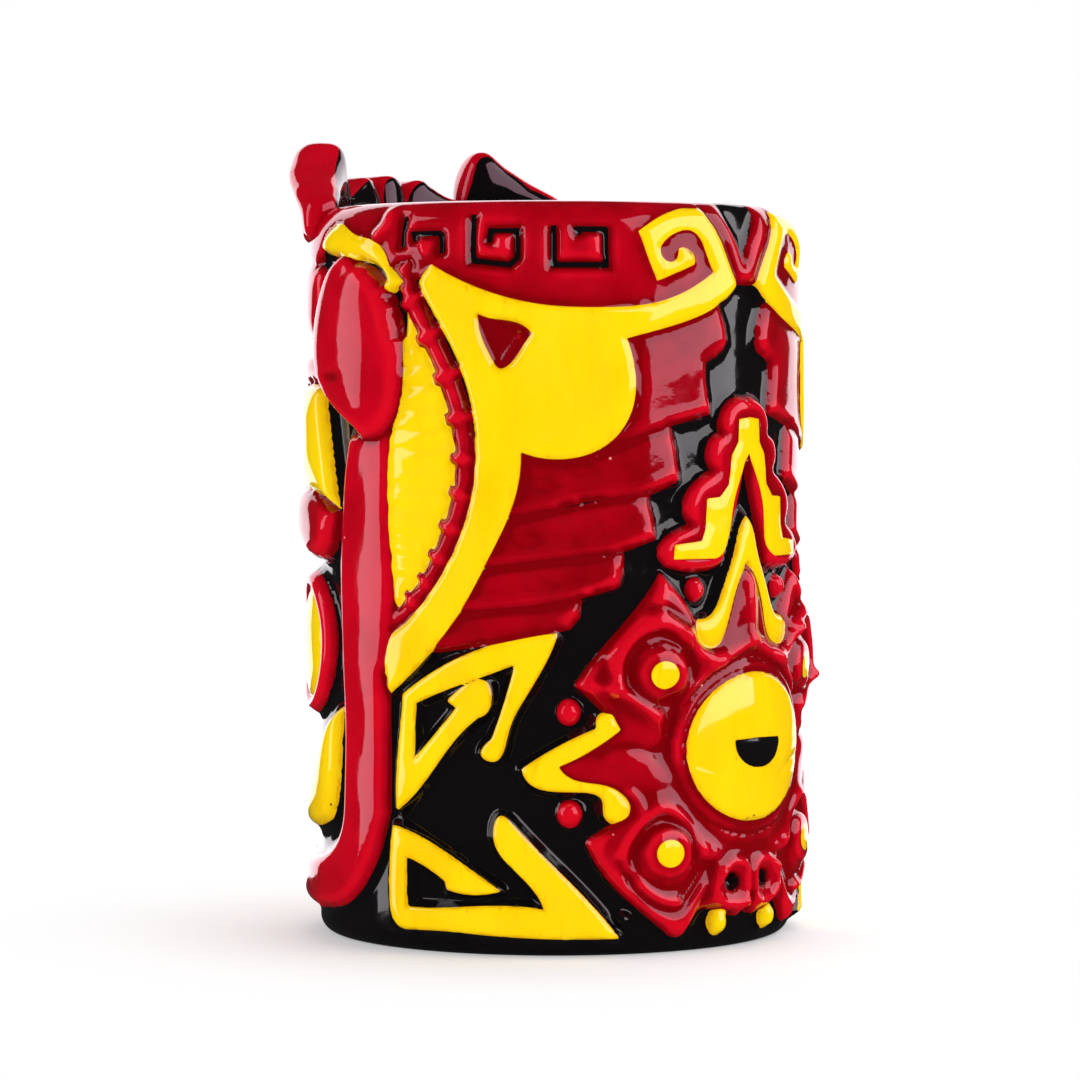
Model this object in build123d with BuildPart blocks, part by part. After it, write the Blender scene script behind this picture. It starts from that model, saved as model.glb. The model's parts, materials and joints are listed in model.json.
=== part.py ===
"""Tiki mug: a slip-cast cup with its carved relief built up from separate glazed clay sprigs.

Millimetres. The origin is the centre of the foot, +Z is up and the foot rests on z = 0. The rear
mask faces +Y and the tiki's face faces -Y. Everything is the same on both sides of x = 0.

Each relief outline is drawn on the unrolled wall as pairs (s, z): s is the way round the wall from
the rear centre line, measured at the seat radius, and z is the height. In an outline, a pair is a
straight run to that point and a list of pairs is a smooth curve through them.
"""

from build123d import *

import os
from math import cos, pi, sin, tan

os.makedirs("parts", exist_ok=True)

# Cup
SEAT_R = 44.0  # outer wall, on which every sprig sits
BORE_R = 39.5
FLOOR = 6.0
FLOOR_ROUND = 6.0
FOOT_ROUND = 3.0
RIM_Z = 135.0
SHOULDER_Z = 127.5  # where the wall starts to roll over into the lip
LIP_R = 40.9  # where the roll reaches the top of the rim
ROLL_TOP = RIM_Z - 2.0  # top of the cup's own roll, below the sprigs that cover it

# Face radii of the sprigs
BAND_R = 46.0
WING_R = 46.8
WINDOW_R = 44.8
FEATHER_R = 46.0
TOWER_R = 46.8
MASK_R = 47.0
EYE_R = 48.0
ZIGZAG_R = 46.5
GLYPH_R = 46.6
JAW_R = 47.0
ROPE_R = 46.6
FIN_R = 46.2
BULB_R = 49.0
FACE_R = 47.0
FRONT_EYE_R = 48.4
NOSE_R = 49.0

# Crest
CREST_Z = 147.8
CREST_R = 49.8  # where it leans out furthest
CREST_BELLY_Z = 142.0
CREST_BACK_R = 41.6

FRONT = pi * SEAT_R  # the front centre line, half way round
REACH = 52.0  # beyond every sprig, from the axis
LONGEST_RUN = 7.0  # a straight run is drawn in pieces no wider than this, so that it stays straight
KEY_WIDTH = 1.4
BAND_Z = 115.0  # low edge of the rim band


def split_run(start, end):
    """The points of a straight run after its start, close enough to stay straight on the wall."""
    pieces = int(abs(end[0] - start[0]) // LONGEST_RUN) + 1
    return [
        tuple(a + (b - a) * i / pieces for a, b in zip(start, end)) for i in range(1, pieces + 1)
    ]


def corners(outline):
    """Every pair of an outline, in order."""
    return [p for step in outline for p in (step if isinstance(step, list) else [step])]


def ellipse(s, z, half_s, half_z):
    """The outline of an ellipse on the wall: two curves that meet at its ends."""
    turn = [k * pi / 6 for k in range(13)]
    ring = [(s + half_s * cos(a), z + half_z * sin(a)) for a in turn]
    return [ring[0], ring[1:7], ring[7:12] + [ring[0]]]


def stroke(route, width):
    """The outline of a band of even width along a route of straight runs, with mitred corners."""
    points = [Vector(*p) for p in route]
    runs = [(b - a).normalized() for a, b in zip(points, points[1:])]
    before = [runs[0]] + runs
    after = runs + [runs[-1]]
    left, right = [], []
    for point, one, two in zip(points, before, after):
        normal = Vector(-one.Y - two.Y, one.X + two.X).normalized()
        side = normal * (width / 2 / normal.dot(Vector(-one.Y, one.X)))
        left.append(((point + side).X, (point + side).Y))
        right.append(((point - side).X, (point - side).Y))
    return left + right[::-1]


def wedge(outline, mode=Mode.ADD):
    """Cut an outline radially through the wall: the same shape seen from the axis at any depth."""
    sides = [p[0] for p in corners(outline)]
    middle = (min(sides) + max(sides)) / 2
    near = 0.95 * LIP_R * cos((max(sides) - middle) / SEAT_R)
    u = middle / SEAT_R
    sections = []
    for depth in (near, REACH):
        centre = (depth * sin(u), depth * cos(u), 0)
        wall = Plane(origin=centre, x_dir=(cos(u), -sin(u), 0), z_dir=(-sin(u), -cos(u), 0))

        def place(p):
            return depth * tan((p[0] - middle) / SEAT_R), p[1]

        with BuildSketch(wall) as section:
            with BuildLine():
                here = outline[0]
                for step in outline[1:] + [outline[0]]:
                    if isinstance(step, list):
                        Spline(place(here), *[place(p) for p in step])
                        here = step[-1]
                    elif step != here:
                        Polyline(place(here), *[place(p) for p in split_run(here, step)])
                        here = step
            make_face()
        sections.append(section.sketch)
    loft(sections=sections, ruled=True, mode=mode)


def skin(face_r, low=FOOT_ROUND):
    """Keep what lies between the cup's wall and a face at face_r that rolls over into the lip."""
    with BuildSketch(Plane.XZ) as section:
        with BuildLine():
            Line((SEAT_R, SHOULDER_Z), (SEAT_R, low))
            Line((SEAT_R, low), (face_r, low))
            Line((face_r, low), (face_r, SHOULDER_Z))
            EllipticalCenterArc((LIP_R, SHOULDER_Z), face_r - LIP_R, RIM_Z - SHOULDER_Z)
            Line((LIP_R, RIM_Z), (LIP_R, ROLL_TOP))
            EllipticalCenterArc((LIP_R, SHOULDER_Z), SEAT_R - LIP_R, ROLL_TOP - SHOULDER_Z)
        make_face()
    revolve(section.sketch, axis=Axis.Z, mode=Mode.INTERSECT)


# ---------------------------------------------------------------- outlines, right-hand side

WING = [
    (2.5, 120.3),
    (9.7, 134.0),
    (13.8, 134.0),
    [(20.0, 131.9), (23.2, 129.6)],
    [(22.0, 126.0), (19.8, 120.6)],
    (12.6, 123.6),
    [(14.3, 126.5), (15.6, 126.4), (16.0, 125.0), (17.5, 124.0), (19.1, 125.2), (19.0, 127.0)],
    [(16.0, 129.5), (12.8, 129.8), (10.6, 127.0), (8.5, 122.3)],
    [(12.8, 119.6), (20.0, 116.8), (30.0, 115.9), (40.0, 116.4), (50.0, 119.0), (59.6, 123.7)],
    (62.2, 120.5),
    [
        (60.0, 116.3),
        (56.0, 109.5),
        (53.0, 102.0),
        (51.3, 90.0),
        (53.0, 78.0),
        (58.0, 67.3),
        (65.0, 59.5),
        (68.0, 57.2),
        (69.4, 53.5),
        (68.4, 46.8),
    ],
    [(62.0, 52.0), (55.0, 60.0), (49.5, 70.0), (44.7, 81.0), (43.4, 90.2)],
    [(37.0, 88.9), (28.3, 91.5), (24.4, 97.0), (23.7, 103.0), (25.3, 110.4)],
    [(16.0, 112.9), (9.0, 115.5), (5.0, 118.0), (2.5, 120.3)],
]
WINDOW = [
    (51.0, 114.8),
    [(50.6, 111.5), (48.8, 107.2), (46.9, 105.0), (45.2, 106.0), (43.0, 109.2), (41.6, 111.2)],
    [(43.5, 112.9), (47.0, 113.7), (51.0, 114.8)],
]
FEATHERS = [
    [
        (26.5, 110.6),
        (6.3, 117.2),
        (4.4, 112.5),
        (4.1, 109.8),
        (5.0, 108.3),
        (9.0, 106.2),
        (9.0, 103.0),
        (8.2, 98.5),
        (8.0, 97.0),
        (19.5, 94.2),
        [(24.0, 92.6), (30.0, 90.5)],
        (30.0, 100.0),
    ],
    [
        (16.5, 94.6),
        (15.5, 91.0),
        (14.8, 85.4),
        (21.5, 82.8),
        (28.0, 81.9),
        (32.0, 81.5),
        (40.0, 79.6),
        (47.5, 77.9),
        (45.0, 91.5),
        (28.0, 93.5),
        (19.5, 93.9),
    ],
    [
        (14.8, 85.0),
        (21.0, 82.4),
        (19.8, 78.0),
        (19.4, 74.6),
        (25.5, 72.6),
        (40.0, 70.8),
        (51.0, 69.3),
        (48.0, 78.0),
        (40.0, 79.4),
        (28.0, 81.7),
        (20.0, 84.6),
    ],
    [
        (25.5, 72.2),
        (25.5, 68.5),
        (26.3, 66.2),
        (33.0, 64.3),
        (40.0, 63.0),
        (55.0, 61.5),
        (51.0, 69.1),
        (40.0, 70.6),
    ],
    [
        (33.0, 64.0),
        (33.3, 61.0),
        (35.0, 58.8),
        (45.0, 56.5),
        (59.5, 54.3),
        (55.5, 61.3),
        (40.0, 62.8),
    ],
]
TOWER = [
    (0.0, 99.8),
    [(2.8, 99.7), (5.2, 98.1), (6.4, 95.8), (6.3, 93.5)],
    [(8.4, 92.2), (9.2, 90.2), (8.3, 86.8)],
    [(11.6, 84.8), (14.0, 81.8), (13.2, 77.2)],
    [(16.6, 75.6), (19.1, 73.2), (17.8, 69.8)],
    [(12.0, 68.7), (6.0, 69.9)],
    [(3.6, 76.5), (1.2, 84.0), (0.0, 88.0)],
]
TOWER_INLAY = [
    (0.0, 96.3),
    (2.7, 96.0),
    (2.9, 91.8),
    (4.4, 89.6),
    (5.1, 84.2),
    (7.2, 82.0),
    (10.1, 81.8),
    (10.4, 76.5),
    (11.2, 74.2),
    (16.6, 73.6),
    (16.8, 71.0),
    (8.2, 71.0),
    [(6.2, 72.2), (4.3, 79.5), (1.9, 86.0), (0.0, 89.8)],
]
CHEVRON = [
    (0.0, 78.3),
    [(1.3, 77.0), (2.8, 73.0), (6.0, 65.0), (8.3, 61.0), (11.5, 60.0)],
    [(12.3, 57.9), (11.0, 55.5), (8.5, 55.0), (6.3, 56.6)],
    [(4.5, 61.0), (1.6, 68.1), (0.0, 70.0)],
]
MASK = [
    (0.0, 69.6),
    [(1.6, 68.0), (4.4, 61.0), (6.2, 56.4), (8.7, 54.8)],
    [(11.0, 55.3), (12.4, 58.0), (11.8, 60.4)],
    [(14.2, 64.0), (18.7, 68.5)],
    [(24.0, 61.2), (29.5, 55.0), (34.2, 48.7)],
    [(31.0, 45.8), (26.3, 40.7)],
    [(31.0, 37.4), (37.0, 34.3)],
    [(34.6, 32.1), (27.5, 30.3), (24.5, 27.2), (27.5, 24.0), (32.2, 20.6)],
    [(29.5, 15.4), (22.0, 7.8), (17.0, 3.6)],
    [(14.2, 3.6), (10.6, 7.7), (6.0, 7.0), (0.0, 6.9)],
]
ZIGZAG = [
    (27.8, 43.5),
    [(30.0, 43.4), (30.4, 41.0)],
    [(37.0, 37.8), (43.2, 33.8)],
    [(42.4, 31.9), (35.0, 29.9), (29.3, 28.0), (29.2, 26.0), (27.8, 24.1)],
    [(24.7, 26.6), (27.0, 30.0), (34.6, 32.0), (37.0, 34.3)],
    [(31.0, 37.4), (26.4, 40.8)],
]
EYE = (36.8, 17.4, 16.0)  # height, half width and half height of the ring round the rear eye
EYE_RING = 2.5
PUPIL = [
    (0.0, 38.5),
    (5.7, 38.3),
    [(5.0, 35.6), (2.6, 33.6), (0.0, 33.1)],
]
SIDE_EYES = [(19.2, 50.5, 4.9), (18.2, 18.6, 4.9)]  # each s, z and radius
IRIS = 2.5
DROPS = (6.8, 5.3, 2.0, 2.4)
RED_STUDS = [(11.6, 65.4, 1.9, 2.2), (35.2, 43.9, 2.0, 2.3), (35.1, 25.8, 2.1, 2.4)]
BLACK_STUD = (25.6, 6.7, 1.5, 1.3)
UPPER_GLYPH = [
    (66.9, 25.8),
    [(67.1, 33.0), (66.4, 39.0), (65.6, 46.6)],
    [(60.0, 50.4), (52.0, 54.5), (37.3, 57.9)],
    [(39.5, 52.5), (43.2, 46.0), (45.7, 40.5), (48.4, 35.2), (49.8, 35.6), (48.5, 39.0)],
    [(46.2, 45.8), (44.3, 52.7)],
    [(49.5, 50.6), (57.0, 47.8), (63.0, 45.2)],
    [(63.2, 40.0), (63.3, 34.9)],
    [(60.0, 38.5), (54.8, 44.6)],
    (56.6, 45.7),
    [(53.5, 48.3), (49.5, 49.2), (48.7, 47.0), (51.0, 43.0)],
    [(56.0, 38.0), (62.0, 30.2), (66.9, 25.8)],
]
LOWER_GLYPH = [
    (67.9, 22.8),
    [(62.0, 21.1), (54.0, 16.7), (47.3, 12.0)],
    [(52.0, 11.3), (56.8, 12.1)],
    (57.0, 13.5),
    [(60.5, 15.7), (64.9, 17.5)],
    [(65.0, 13.0), (64.8, 8.4)],
    [(57.0, 8.5), (50.0, 9.1), (39.4, 8.6)],
    [(43.5, 14.8), (48.2, 22.6), (47.4, 25.1), (44.8, 23.7)],
    [(38.0, 16.5), (31.0, 9.0), (26.7, 3.6)],
    [(36.0, 3.6), (50.0, 4.2), (62.0, 4.5), (66.7, 4.9), (68.6, 9.0)],
    [(68.7, 15.0), (67.9, 22.8)],
]
BULB = [
    (76.0, 124.2),
    [(70.6, 121.5), (66.3, 114.0), (65.0, 105.0), (66.2, 97.4), (69.5, 93.2), (74.5, 92.8)],
    [(80.0, 96.5), (86.0, 102.5), (88.2, 110.0), (86.5, 119.0), (82.5, 125.0), (76.0, 124.2)],
]
BROW_LEAF = [
    (67.9, 118.7),
    (69.3, 119.5),
    [(70.6, 122.8), (75.0, 124.6), (82.0, 125.5), (90.3, 126.8)],
    [(87.5, 130.6), (83.5, 132.0), (78.0, 129.7), (72.0, 128.0), (68.8, 123.6)],
    (65.5, 120.6),
]
FIN = [
    (65.0, 116.0),
    [(60.4, 111.0), (57.4, 105.0), (54.9, 97.5), (53.6, 90.0), (53.8, 83.5), (55.7, 77.3)],
    [(57.9, 71.8), (60.3, 67.0), (63.0, 63.6), (66.8, 59.9)],
    [(68.2, 70.0), (69.3, 80.0), (68.9, 92.5)],
    [(66.0, 98.0), (65.0, 107.0), (65.0, 116.0)],
]
ROPE = [
    (66.6, 123.8),
    (64.4, 118.2),
    (60.8, 112.0),
    (57.2, 105.0),
    (54.6, 97.5),
    (53.3, 90.0),
    (53.5, 83.5),
    (55.4, 77.3),
    (57.6, 71.8),
    (60.0, 67.0),
    (62.8, 63.5),
    (65.6, 60.6),
    (70.5, 56.0),
]
ROPE_WIDTH = 4.4
JAW = [
    (68.0, 94.0),
    (67.6, 58.0),
    (69.3, 50.0),
    (69.3, 25.0),
    [(71.5, 18.0), (76.0, 10.8), (80.5, 7.4), (88.0, 6.0), (100.0, 5.6), (FRONT, 5.4)],
    (FRONT, 15.0),
    [(110.0, 15.2), (92.0, 15.5), (84.5, 18.5), (81.5, 26.0)],
    [(81.8, 50.0), (81.5, 84.0), (79.5, 93.0)],
]
KEYS = [
    [(66.2, 133.2), (66.4, 126.6)],
    [(63.6, 127.6), (64.0, 129.5), (58.2, 129.5), (58.0, 125.4)],
    [(52.2, 133.2), (52.2, 124.2), (45.6, 123.4), (44.2, 124.6), (44.2, 130.0), (48.9, 130.0), (49.3, 127.2)],
    [(37.9, 131.0), (37.9, 123.4), (28.7, 123.4), (28.8, 130.2), (33.8, 130.2), (33.4, 128.8)],
]

# The face on the other side of the cup
CREST_HORN = [
    (95.5, 126.0),
    (95.5, 135.0),
    [(98.5, 136.6), (102.6, 139.2)],
    [(109.0, 142.6), (114.0, 146.4), (115.8, CREST_Z), (117.0, 146.5), (119.5, 139.6)],
    (120.0, 126.0),
]
CREST_PEAK = [
    (120.0, 126.0),
    (119.7, 138.4),
    [(124.4, 139.0), (128.5, 141.3), (130.5, 142.2), (132.3, 141.2), (134.6, 138.0)],
    (134.7, 126.0),
]
CREST_CENTRE = [
    (134.7, 126.0),
    (134.7, 139.4),
    [(135.3, 141.4), (136.6, 142.4), (FRONT, 142.6)],
    (FRONT, 126.0),
]
BROW = [
    (FRONT, 112.0),
    [(128.0, 118.0), (112.0, 122.8), (100.0, 124.6), (91.6, 123.4)],
    [(89.8, 119.6), (90.2, 114.0), (92.3, 108.6)],
    [(104.0, 110.5), (120.0, 107.0), (FRONT, 100.5)],
]
LID = [
    (89.0, 101.9),
    [(89.3, 104.8), (91.5, 106.5)],
    [(104.0, 107.8), (118.0, 104.0), (126.0, 98.0)],
    [(125.6, 95.0), (123.6, 92.8)],
    [(112.0, 99.5), (100.0, 102.4), (89.0, 101.9)],
]
FRONT_EYE = [
    (88.5, 101.4),
    [(100.0, 101.9), (112.0, 99.0), (123.2, 92.4)],
    [(114.0, 85.6), (100.0, 83.4), (83.3, 79.6)],
    [(84.8, 86.0), (86.8, 93.0), (88.5, 101.4)],
]
FRONT_PUPIL = (104.5, 93.0, 5.4, 5.8)
BAG = [
    (83.6, 78.9),
    [(92.0, 82.4), (100.0, 84.4), (106.0, 85.2), (112.0, 85.6)],
    [(110.0, 78.4), (102.5, 72.4), (94.5, 70.3), (87.5, 70.9), (84.2, 74.4), (83.6, 78.9)],
]
NOSE = [
    (FRONT, 99.0),
    [(133.6, 97.0), (131.6, 88.0), (129.0, 79.0)],
    [(124.6, 75.0), (122.6, 69.5), (125.4, 64.4), (131.0, 63.4), (FRONT, 65.0)],
]
CHEEK = (99.6, 54.6, 13.8, 13.3)
CHEEK_DISC = (99.6, 54.2, 9.2, 10.2)
TUSK = [
    (82.8, 43.2),
    [(83.6, 34.0), (84.9, 27.0), (88.2, 22.4)],
    [(97.0, 20.4), (106.0, 21.2), (113.5, 25.6)],
    [(105.0, 26.4), (96.5, 30.6), (90.0, 38.6), (82.8, 43.2)],
]
LIP = [
    (FRONT, 60.5),
    [(128.0, 60.0), (116.6, 57.0)],
    (115.4, 50.4),
    [(126.0, 52.6), (FRONT, 53.0)],
]
TOOTH_WIDTH = 6.4
TOOTH_PITCH = 7.0
TEETH = [(36.0, 52.0), (37.0, 51.6), (38.5, 50.4)]  # low and high edge, from the centre outwards
LOWER_TEETH = [(22.5, 33.8), (22.5, 33.2), (22.5, 32.0)]

REAR_NOTCH = [
    (0.0, 110.0),
    (0.0, 136.0),
    (9.9, 136.0),
    (9.7, 134.0),
    (2.5, 120.3),
    (13.0, 116.0),
    (13.0, 110.0),
]
SIDE_NOTCH = [
    (58.0, 110.0),
    (58.0, 119.0),
    (61.8, 120.9),
    (67.0, 121.6),
    (70.0, 124.0),
    [(76.0, 127.0), (90.0, 127.6)],
    (94.0, 124.0),
    [(112.0, 125.0), (FRONT, 116.0)],
    (FRONT, 110.0),
]
REAR_V = [
    (0.0, 120.3),
    (2.5, 120.3),
    (9.7, 134.0),
    (9.9, 136.0),
    (5.2, 136.0),
    (4.7, 134.0),
    (0.0, 124.5),
]


def whole(outline, face_r, cut=()):
    """A sprig of one outline, less whatever neighbours it runs under."""
    wedge(outline)
    skin(face_r)
    for piece in cut:
        add(piece.part, mode=Mode.SUBTRACT)


def both_sides(face_r, outlines):
    """The same small sprigs on both sides of the cup."""
    for outline in outlines:
        wedge(outline)
    mirror(about=Plane.YZ)
    skin(face_r)


def bead(start, end, width):
    """One joint of the rope: a wide collar at its upper end, then a narrower shaft."""
    s, z = start
    along = Vector(end[0] - s, end[1] - z)
    across = Vector(-along.Y, along.X).normalized() * width / 2
    sides = [(-0.02, 0.84), (0.02, 1.26), (0.26, 1.26), (0.34, 0.84), (1.02, 0.84)]
    left = [(s + along.X * t + across.X * w, z + along.Y * t + across.Y * w) for t, w in sides]
    right = [(s + along.X * t - across.X * w, z + along.Y * t - across.Y * w) for t, w in sides]
    return left + right[::-1]


def crest(outline):
    """A piece of the crest: it stands on the rolled rim and leans out."""
    wedge(outline)
    with BuildSketch(Plane.XZ) as section:
        with BuildLine():
            EllipticalCenterArc((LIP_R, SHOULDER_Z), BAND_R - LIP_R, RIM_Z - SHOULDER_Z)
            Polyline(
                (BAND_R, SHOULDER_Z),
                (BAND_R + 0.3, SHOULDER_Z + 2),
                (BAND_R + 0.6, RIM_Z),
                (CREST_R, CREST_BELLY_Z),
                (CREST_R - 0.4, CREST_Z - 2),
                (CREST_R - 2.2, CREST_Z + 1),
                (CREST_BACK_R, CREST_Z + 1),
                (LIP_R, RIM_Z),
            )
        make_face()
    revolve(section.sketch, axis=Axis.Z, mode=Mode.INTERSECT)


def save(piece, name):
    """Label a finished piece and write it."""
    piece.part.label = name
    export_step(piece.part, f"parts/{name}.step")


def save_pair(piece, name):
    """Write a piece as the right-hand one, and its mirror image as the left-hand one."""
    save(piece, f"{name}_right")
    with BuildPart() as other:
        mirror(piece.part, about=Plane.YZ)
    save(other, f"{name}_left")


# ---------------------------------------------------------------- the cup

with BuildPart() as mug_body:
    with BuildSketch(Plane.XZ):
        with BuildLine():
            Polyline((0, FLOOR), (0, 0), (SEAT_R - FOOT_ROUND, 0))
            RadiusArc((SEAT_R - FOOT_ROUND, 0), (SEAT_R, FOOT_ROUND), -FOOT_ROUND)
            Line((SEAT_R, FOOT_ROUND), (SEAT_R, SHOULDER_Z))
            EllipticalCenterArc((LIP_R, SHOULDER_Z), SEAT_R - LIP_R, ROLL_TOP - SHOULDER_Z)
            Line((LIP_R, ROLL_TOP), (LIP_R, RIM_Z))
            RadiusArc((LIP_R, RIM_Z), (BORE_R, RIM_Z - LIP_R + BORE_R), -(LIP_R - BORE_R))
            Line((BORE_R, RIM_Z - LIP_R + BORE_R), (BORE_R, FLOOR + FLOOR_ROUND))
            RadiusArc((BORE_R, FLOOR + FLOOR_ROUND), (BORE_R - FLOOR_ROUND, FLOOR), FLOOR_ROUND)
            Line((BORE_R - FLOOR_ROUND, FLOOR), (0, FLOOR))
        make_face()
    revolve(axis=Axis.Z)
save(mug_body, "mug_body")

# ---------------------------------------------------------------- rear and sides

with BuildPart() as wing_scroll:
    whole(WING, WING_R)
    wedge(WINDOW, mode=Mode.SUBTRACT)
save_pair(wing_scroll, "wing_scroll")

with BuildPart() as wing_windows:
    both_sides(WINDOW_R, [WINDOW])
save(wing_windows, "wing_windows")

with BuildPart() as rear_v:
    wedge(REAR_V)
    skin(BAND_R)
    add(wing_scroll.part, mode=Mode.SUBTRACT)
    mirror(about=Plane.YZ)
save(rear_v, "rear_v")

above = [wing_scroll]
for number, outline in enumerate(FEATHERS, start=1):
    with BuildPart() as feather:
        whole(outline, FEATHER_R, cut=above)
    save_pair(feather, f"feather_{number}")
    above.append(feather)

with BuildPart() as chevron:
    wedge(CHEVRON)
    mirror(about=Plane.YZ)
    skin(TOWER_R)
save(chevron, "chevron")

with BuildPart() as tower_inlay:
    wedge(TOWER_INLAY)
    mirror(about=Plane.YZ)
    skin(TOWER_R)
save(tower_inlay, "tower_inlay")

with BuildPart() as tower:
    wedge(TOWER)
    wedge(TOWER_INLAY, mode=Mode.SUBTRACT)
    mirror(about=Plane.YZ)
    skin(TOWER_R)
save(tower, "tower")

with BuildPart() as zigzag:
    whole(ZIGZAG, ZIGZAG_R)
save_pair(zigzag, "zigzag")

eye_z, eye_half_s, eye_half_z = EYE
eye_outline = ellipse(0, eye_z, eye_half_s, eye_half_z)
ball_outline = ellipse(0, eye_z, eye_half_s - EYE_RING, eye_half_z - EYE_RING)

with BuildPart() as eye_ring:
    wedge(eye_outline)
    wedge(ball_outline, mode=Mode.SUBTRACT)
    skin(EYE_R)
save(eye_ring, "eye_ring")

with BuildPart() as pupil:
    wedge(PUPIL)
    mirror(about=Plane.YZ)
    skin(EYE_R)
save(pupil, "pupil")

with BuildPart() as big_eye:
    whole(ball_outline, EYE_R, cut=[pupil])
save(big_eye, "big_eye")

side_eyes = [ellipse(s, z, r, r) for s, z, r in SIDE_EYES]
irises = [ellipse(s, z, IRIS, IRIS) for s, z, r in SIDE_EYES]

with BuildPart() as mask_irises:
    both_sides(EYE_R, irises)
save(mask_irises, "mask_irises")

with BuildPart() as mask_eyeballs:
    both_sides(EYE_R, side_eyes)
    add(mask_irises.part, mode=Mode.SUBTRACT)
save(mask_eyeballs, "mask_eyeballs")

with BuildPart() as drops:
    both_sides(MASK_R, [ellipse(*DROPS)])
save(drops, "nostril_drops")

with BuildPart() as rear_mask:
    wedge(MASK)
    for outline in [*side_eyes, ellipse(*DROPS), ZIGZAG, CHEVRON, TOWER]:
        wedge(outline, mode=Mode.SUBTRACT)
    mirror(about=Plane.YZ)
    wedge(eye_outline, mode=Mode.SUBTRACT)
    skin(MASK_R)
save(rear_mask, "rear_mask")

with BuildPart() as red_studs:
    both_sides(WING_R, [ellipse(*stud) for stud in RED_STUDS])
save(red_studs, "red_studs")

with BuildPart() as black_studs:
    both_sides(BAND_R, [ellipse(*BLACK_STUD)])
save(black_studs, "black_studs")

with BuildPart() as upper_glyph:
    whole(UPPER_GLYPH, GLYPH_R, cut=above)
save_pair(upper_glyph, "upper_glyph")

with BuildPart() as lower_glyph:
    whole(LOWER_GLYPH, GLYPH_R)
save_pair(lower_glyph, "lower_glyph")

with BuildPart() as brow_leaf:
    whole(BROW_LEAF, WING_R)
save_pair(brow_leaf, "brow_leaf")

with BuildPart() as bulb:
    whole(BULB, BULB_R, cut=[brow_leaf])
save_pair(bulb, "bulb")

with BuildPart() as rope:
    for upper, lower in zip(ROPE, ROPE[1:]):
        wedge(bead(upper, lower, ROPE_WIDTH))
    skin(ROPE_R)
    for piece in (wing_scroll, brow_leaf, bulb):
        add(piece.part, mode=Mode.SUBTRACT)
save_pair(rope, "rope")

with BuildPart() as fin:
    whole(FIN, FIN_R, cut=[rope, bulb])
save_pair(fin, "fin")

with BuildPart() as jaw_frame:
    wedge(JAW)
    skin(JAW_R)
    for piece in (wing_scroll, rope, fin, bulb):
        add(piece.part, mode=Mode.SUBTRACT)
    mirror(about=Plane.YZ)
save(jaw_frame, "jaw_frame")

# ---------------------------------------------------------------- front

with BuildPart() as front_brow:
    wedge(BROW)
    mirror(about=Plane.YZ)
    skin(FACE_R)
save(front_brow, "front_brow")

with BuildPart() as front_pupils:
    both_sides(FRONT_EYE_R, [ellipse(*FRONT_PUPIL)])
save(front_pupils, "front_pupils")

with BuildPart() as front_eyes:
    both_sides(FRONT_EYE_R, [FRONT_EYE])
    add(front_pupils.part, mode=Mode.SUBTRACT)
save(front_eyes, "front_eyes")

with BuildPart() as front_lids:
    both_sides(FACE_R, [LID])
save(front_lids, "front_lids")

with BuildPart() as eye_bags:
    both_sides(FRONT_EYE_R, [BAG])
    add(front_eyes.part, mode=Mode.SUBTRACT)
save(eye_bags, "eye_bags")

with BuildPart() as nose:
    wedge(NOSE)
    mirror(about=Plane.YZ)
    skin(NOSE_R)
save(nose, "nose")

with BuildPart() as cheek_discs:
    both_sides(FACE_R, [ellipse(*CHEEK_DISC)])
save(cheek_discs, "cheek_discs")

with BuildPart() as cheek_rings:
    both_sides(FACE_R, [ellipse(*CHEEK)])
    add(cheek_discs.part, mode=Mode.SUBTRACT)
save(cheek_rings, "cheek_rings")

with BuildPart() as upper_lip:
    wedge(LIP)
    mirror(about=Plane.YZ)
    skin(FACE_R)
save(upper_lip, "upper_lip")

with BuildPart() as tusks:
    both_sides(FACE_R, [TUSK])
save(tusks, "tusks")

with BuildPart() as teeth:
    rows = []
    for row in (TEETH, LOWER_TEETH):
        for place, (low, high) in enumerate(row):
            middle = FRONT - (place + 0.5) * TOOTH_PITCH
            near, far = middle + TOOTH_WIDTH / 2, middle - TOOTH_WIDTH / 2
            rows.append([(near, low), (near, high), (far, high), (far, low)])
    both_sides(GLYPH_R, rows)
save(teeth, "teeth")

# ---------------------------------------------------------------- rim and crest

with BuildPart() as rim_band:
    Cylinder(REACH, RIM_Z + 10, align=(Align.CENTER, Align.CENTER, Align.MIN))
    split(bisect_by=Plane.YZ)
    skin(BAND_R, low=BAND_Z)
    wedge(REAR_NOTCH, mode=Mode.SUBTRACT)
    wedge(SIDE_NOTCH, mode=Mode.SUBTRACT)
    for key in KEYS:
        wedge(stroke(key, KEY_WIDTH), mode=Mode.SUBTRACT)
    for piece in (wing_scroll, brow_leaf, bulb, rope, fin, front_brow):
        add(piece.part, mode=Mode.SUBTRACT)
save_pair(rim_band, "rim_band")

with BuildPart() as crest_horn:
    crest(CREST_HORN)
save_pair(crest_horn, "crest_horn")

with BuildPart() as crest_peaks:
    crest(CREST_PEAK)
    mirror(about=Plane.YZ)
save(crest_peaks, "crest_peaks")

with BuildPart() as crest_centre:
    crest(CREST_CENTRE)
    mirror(about=Plane.YZ)
save(crest_centre, "crest_centre")
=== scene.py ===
"""A glazed ceramic tiki mug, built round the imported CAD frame.

The outside of the mug is one height field over the unrolled wall. Every relief sprig of the frame
is cut from it along its own outline, so that neighbours meet exactly, and the cup runs on below
them.
Lengths are in millimetres until a mesh is made.
"""

import json
import math

import bpy
import numpy as np
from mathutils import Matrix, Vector
from mathutils.geometry import delaunay_2d_cdt


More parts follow.
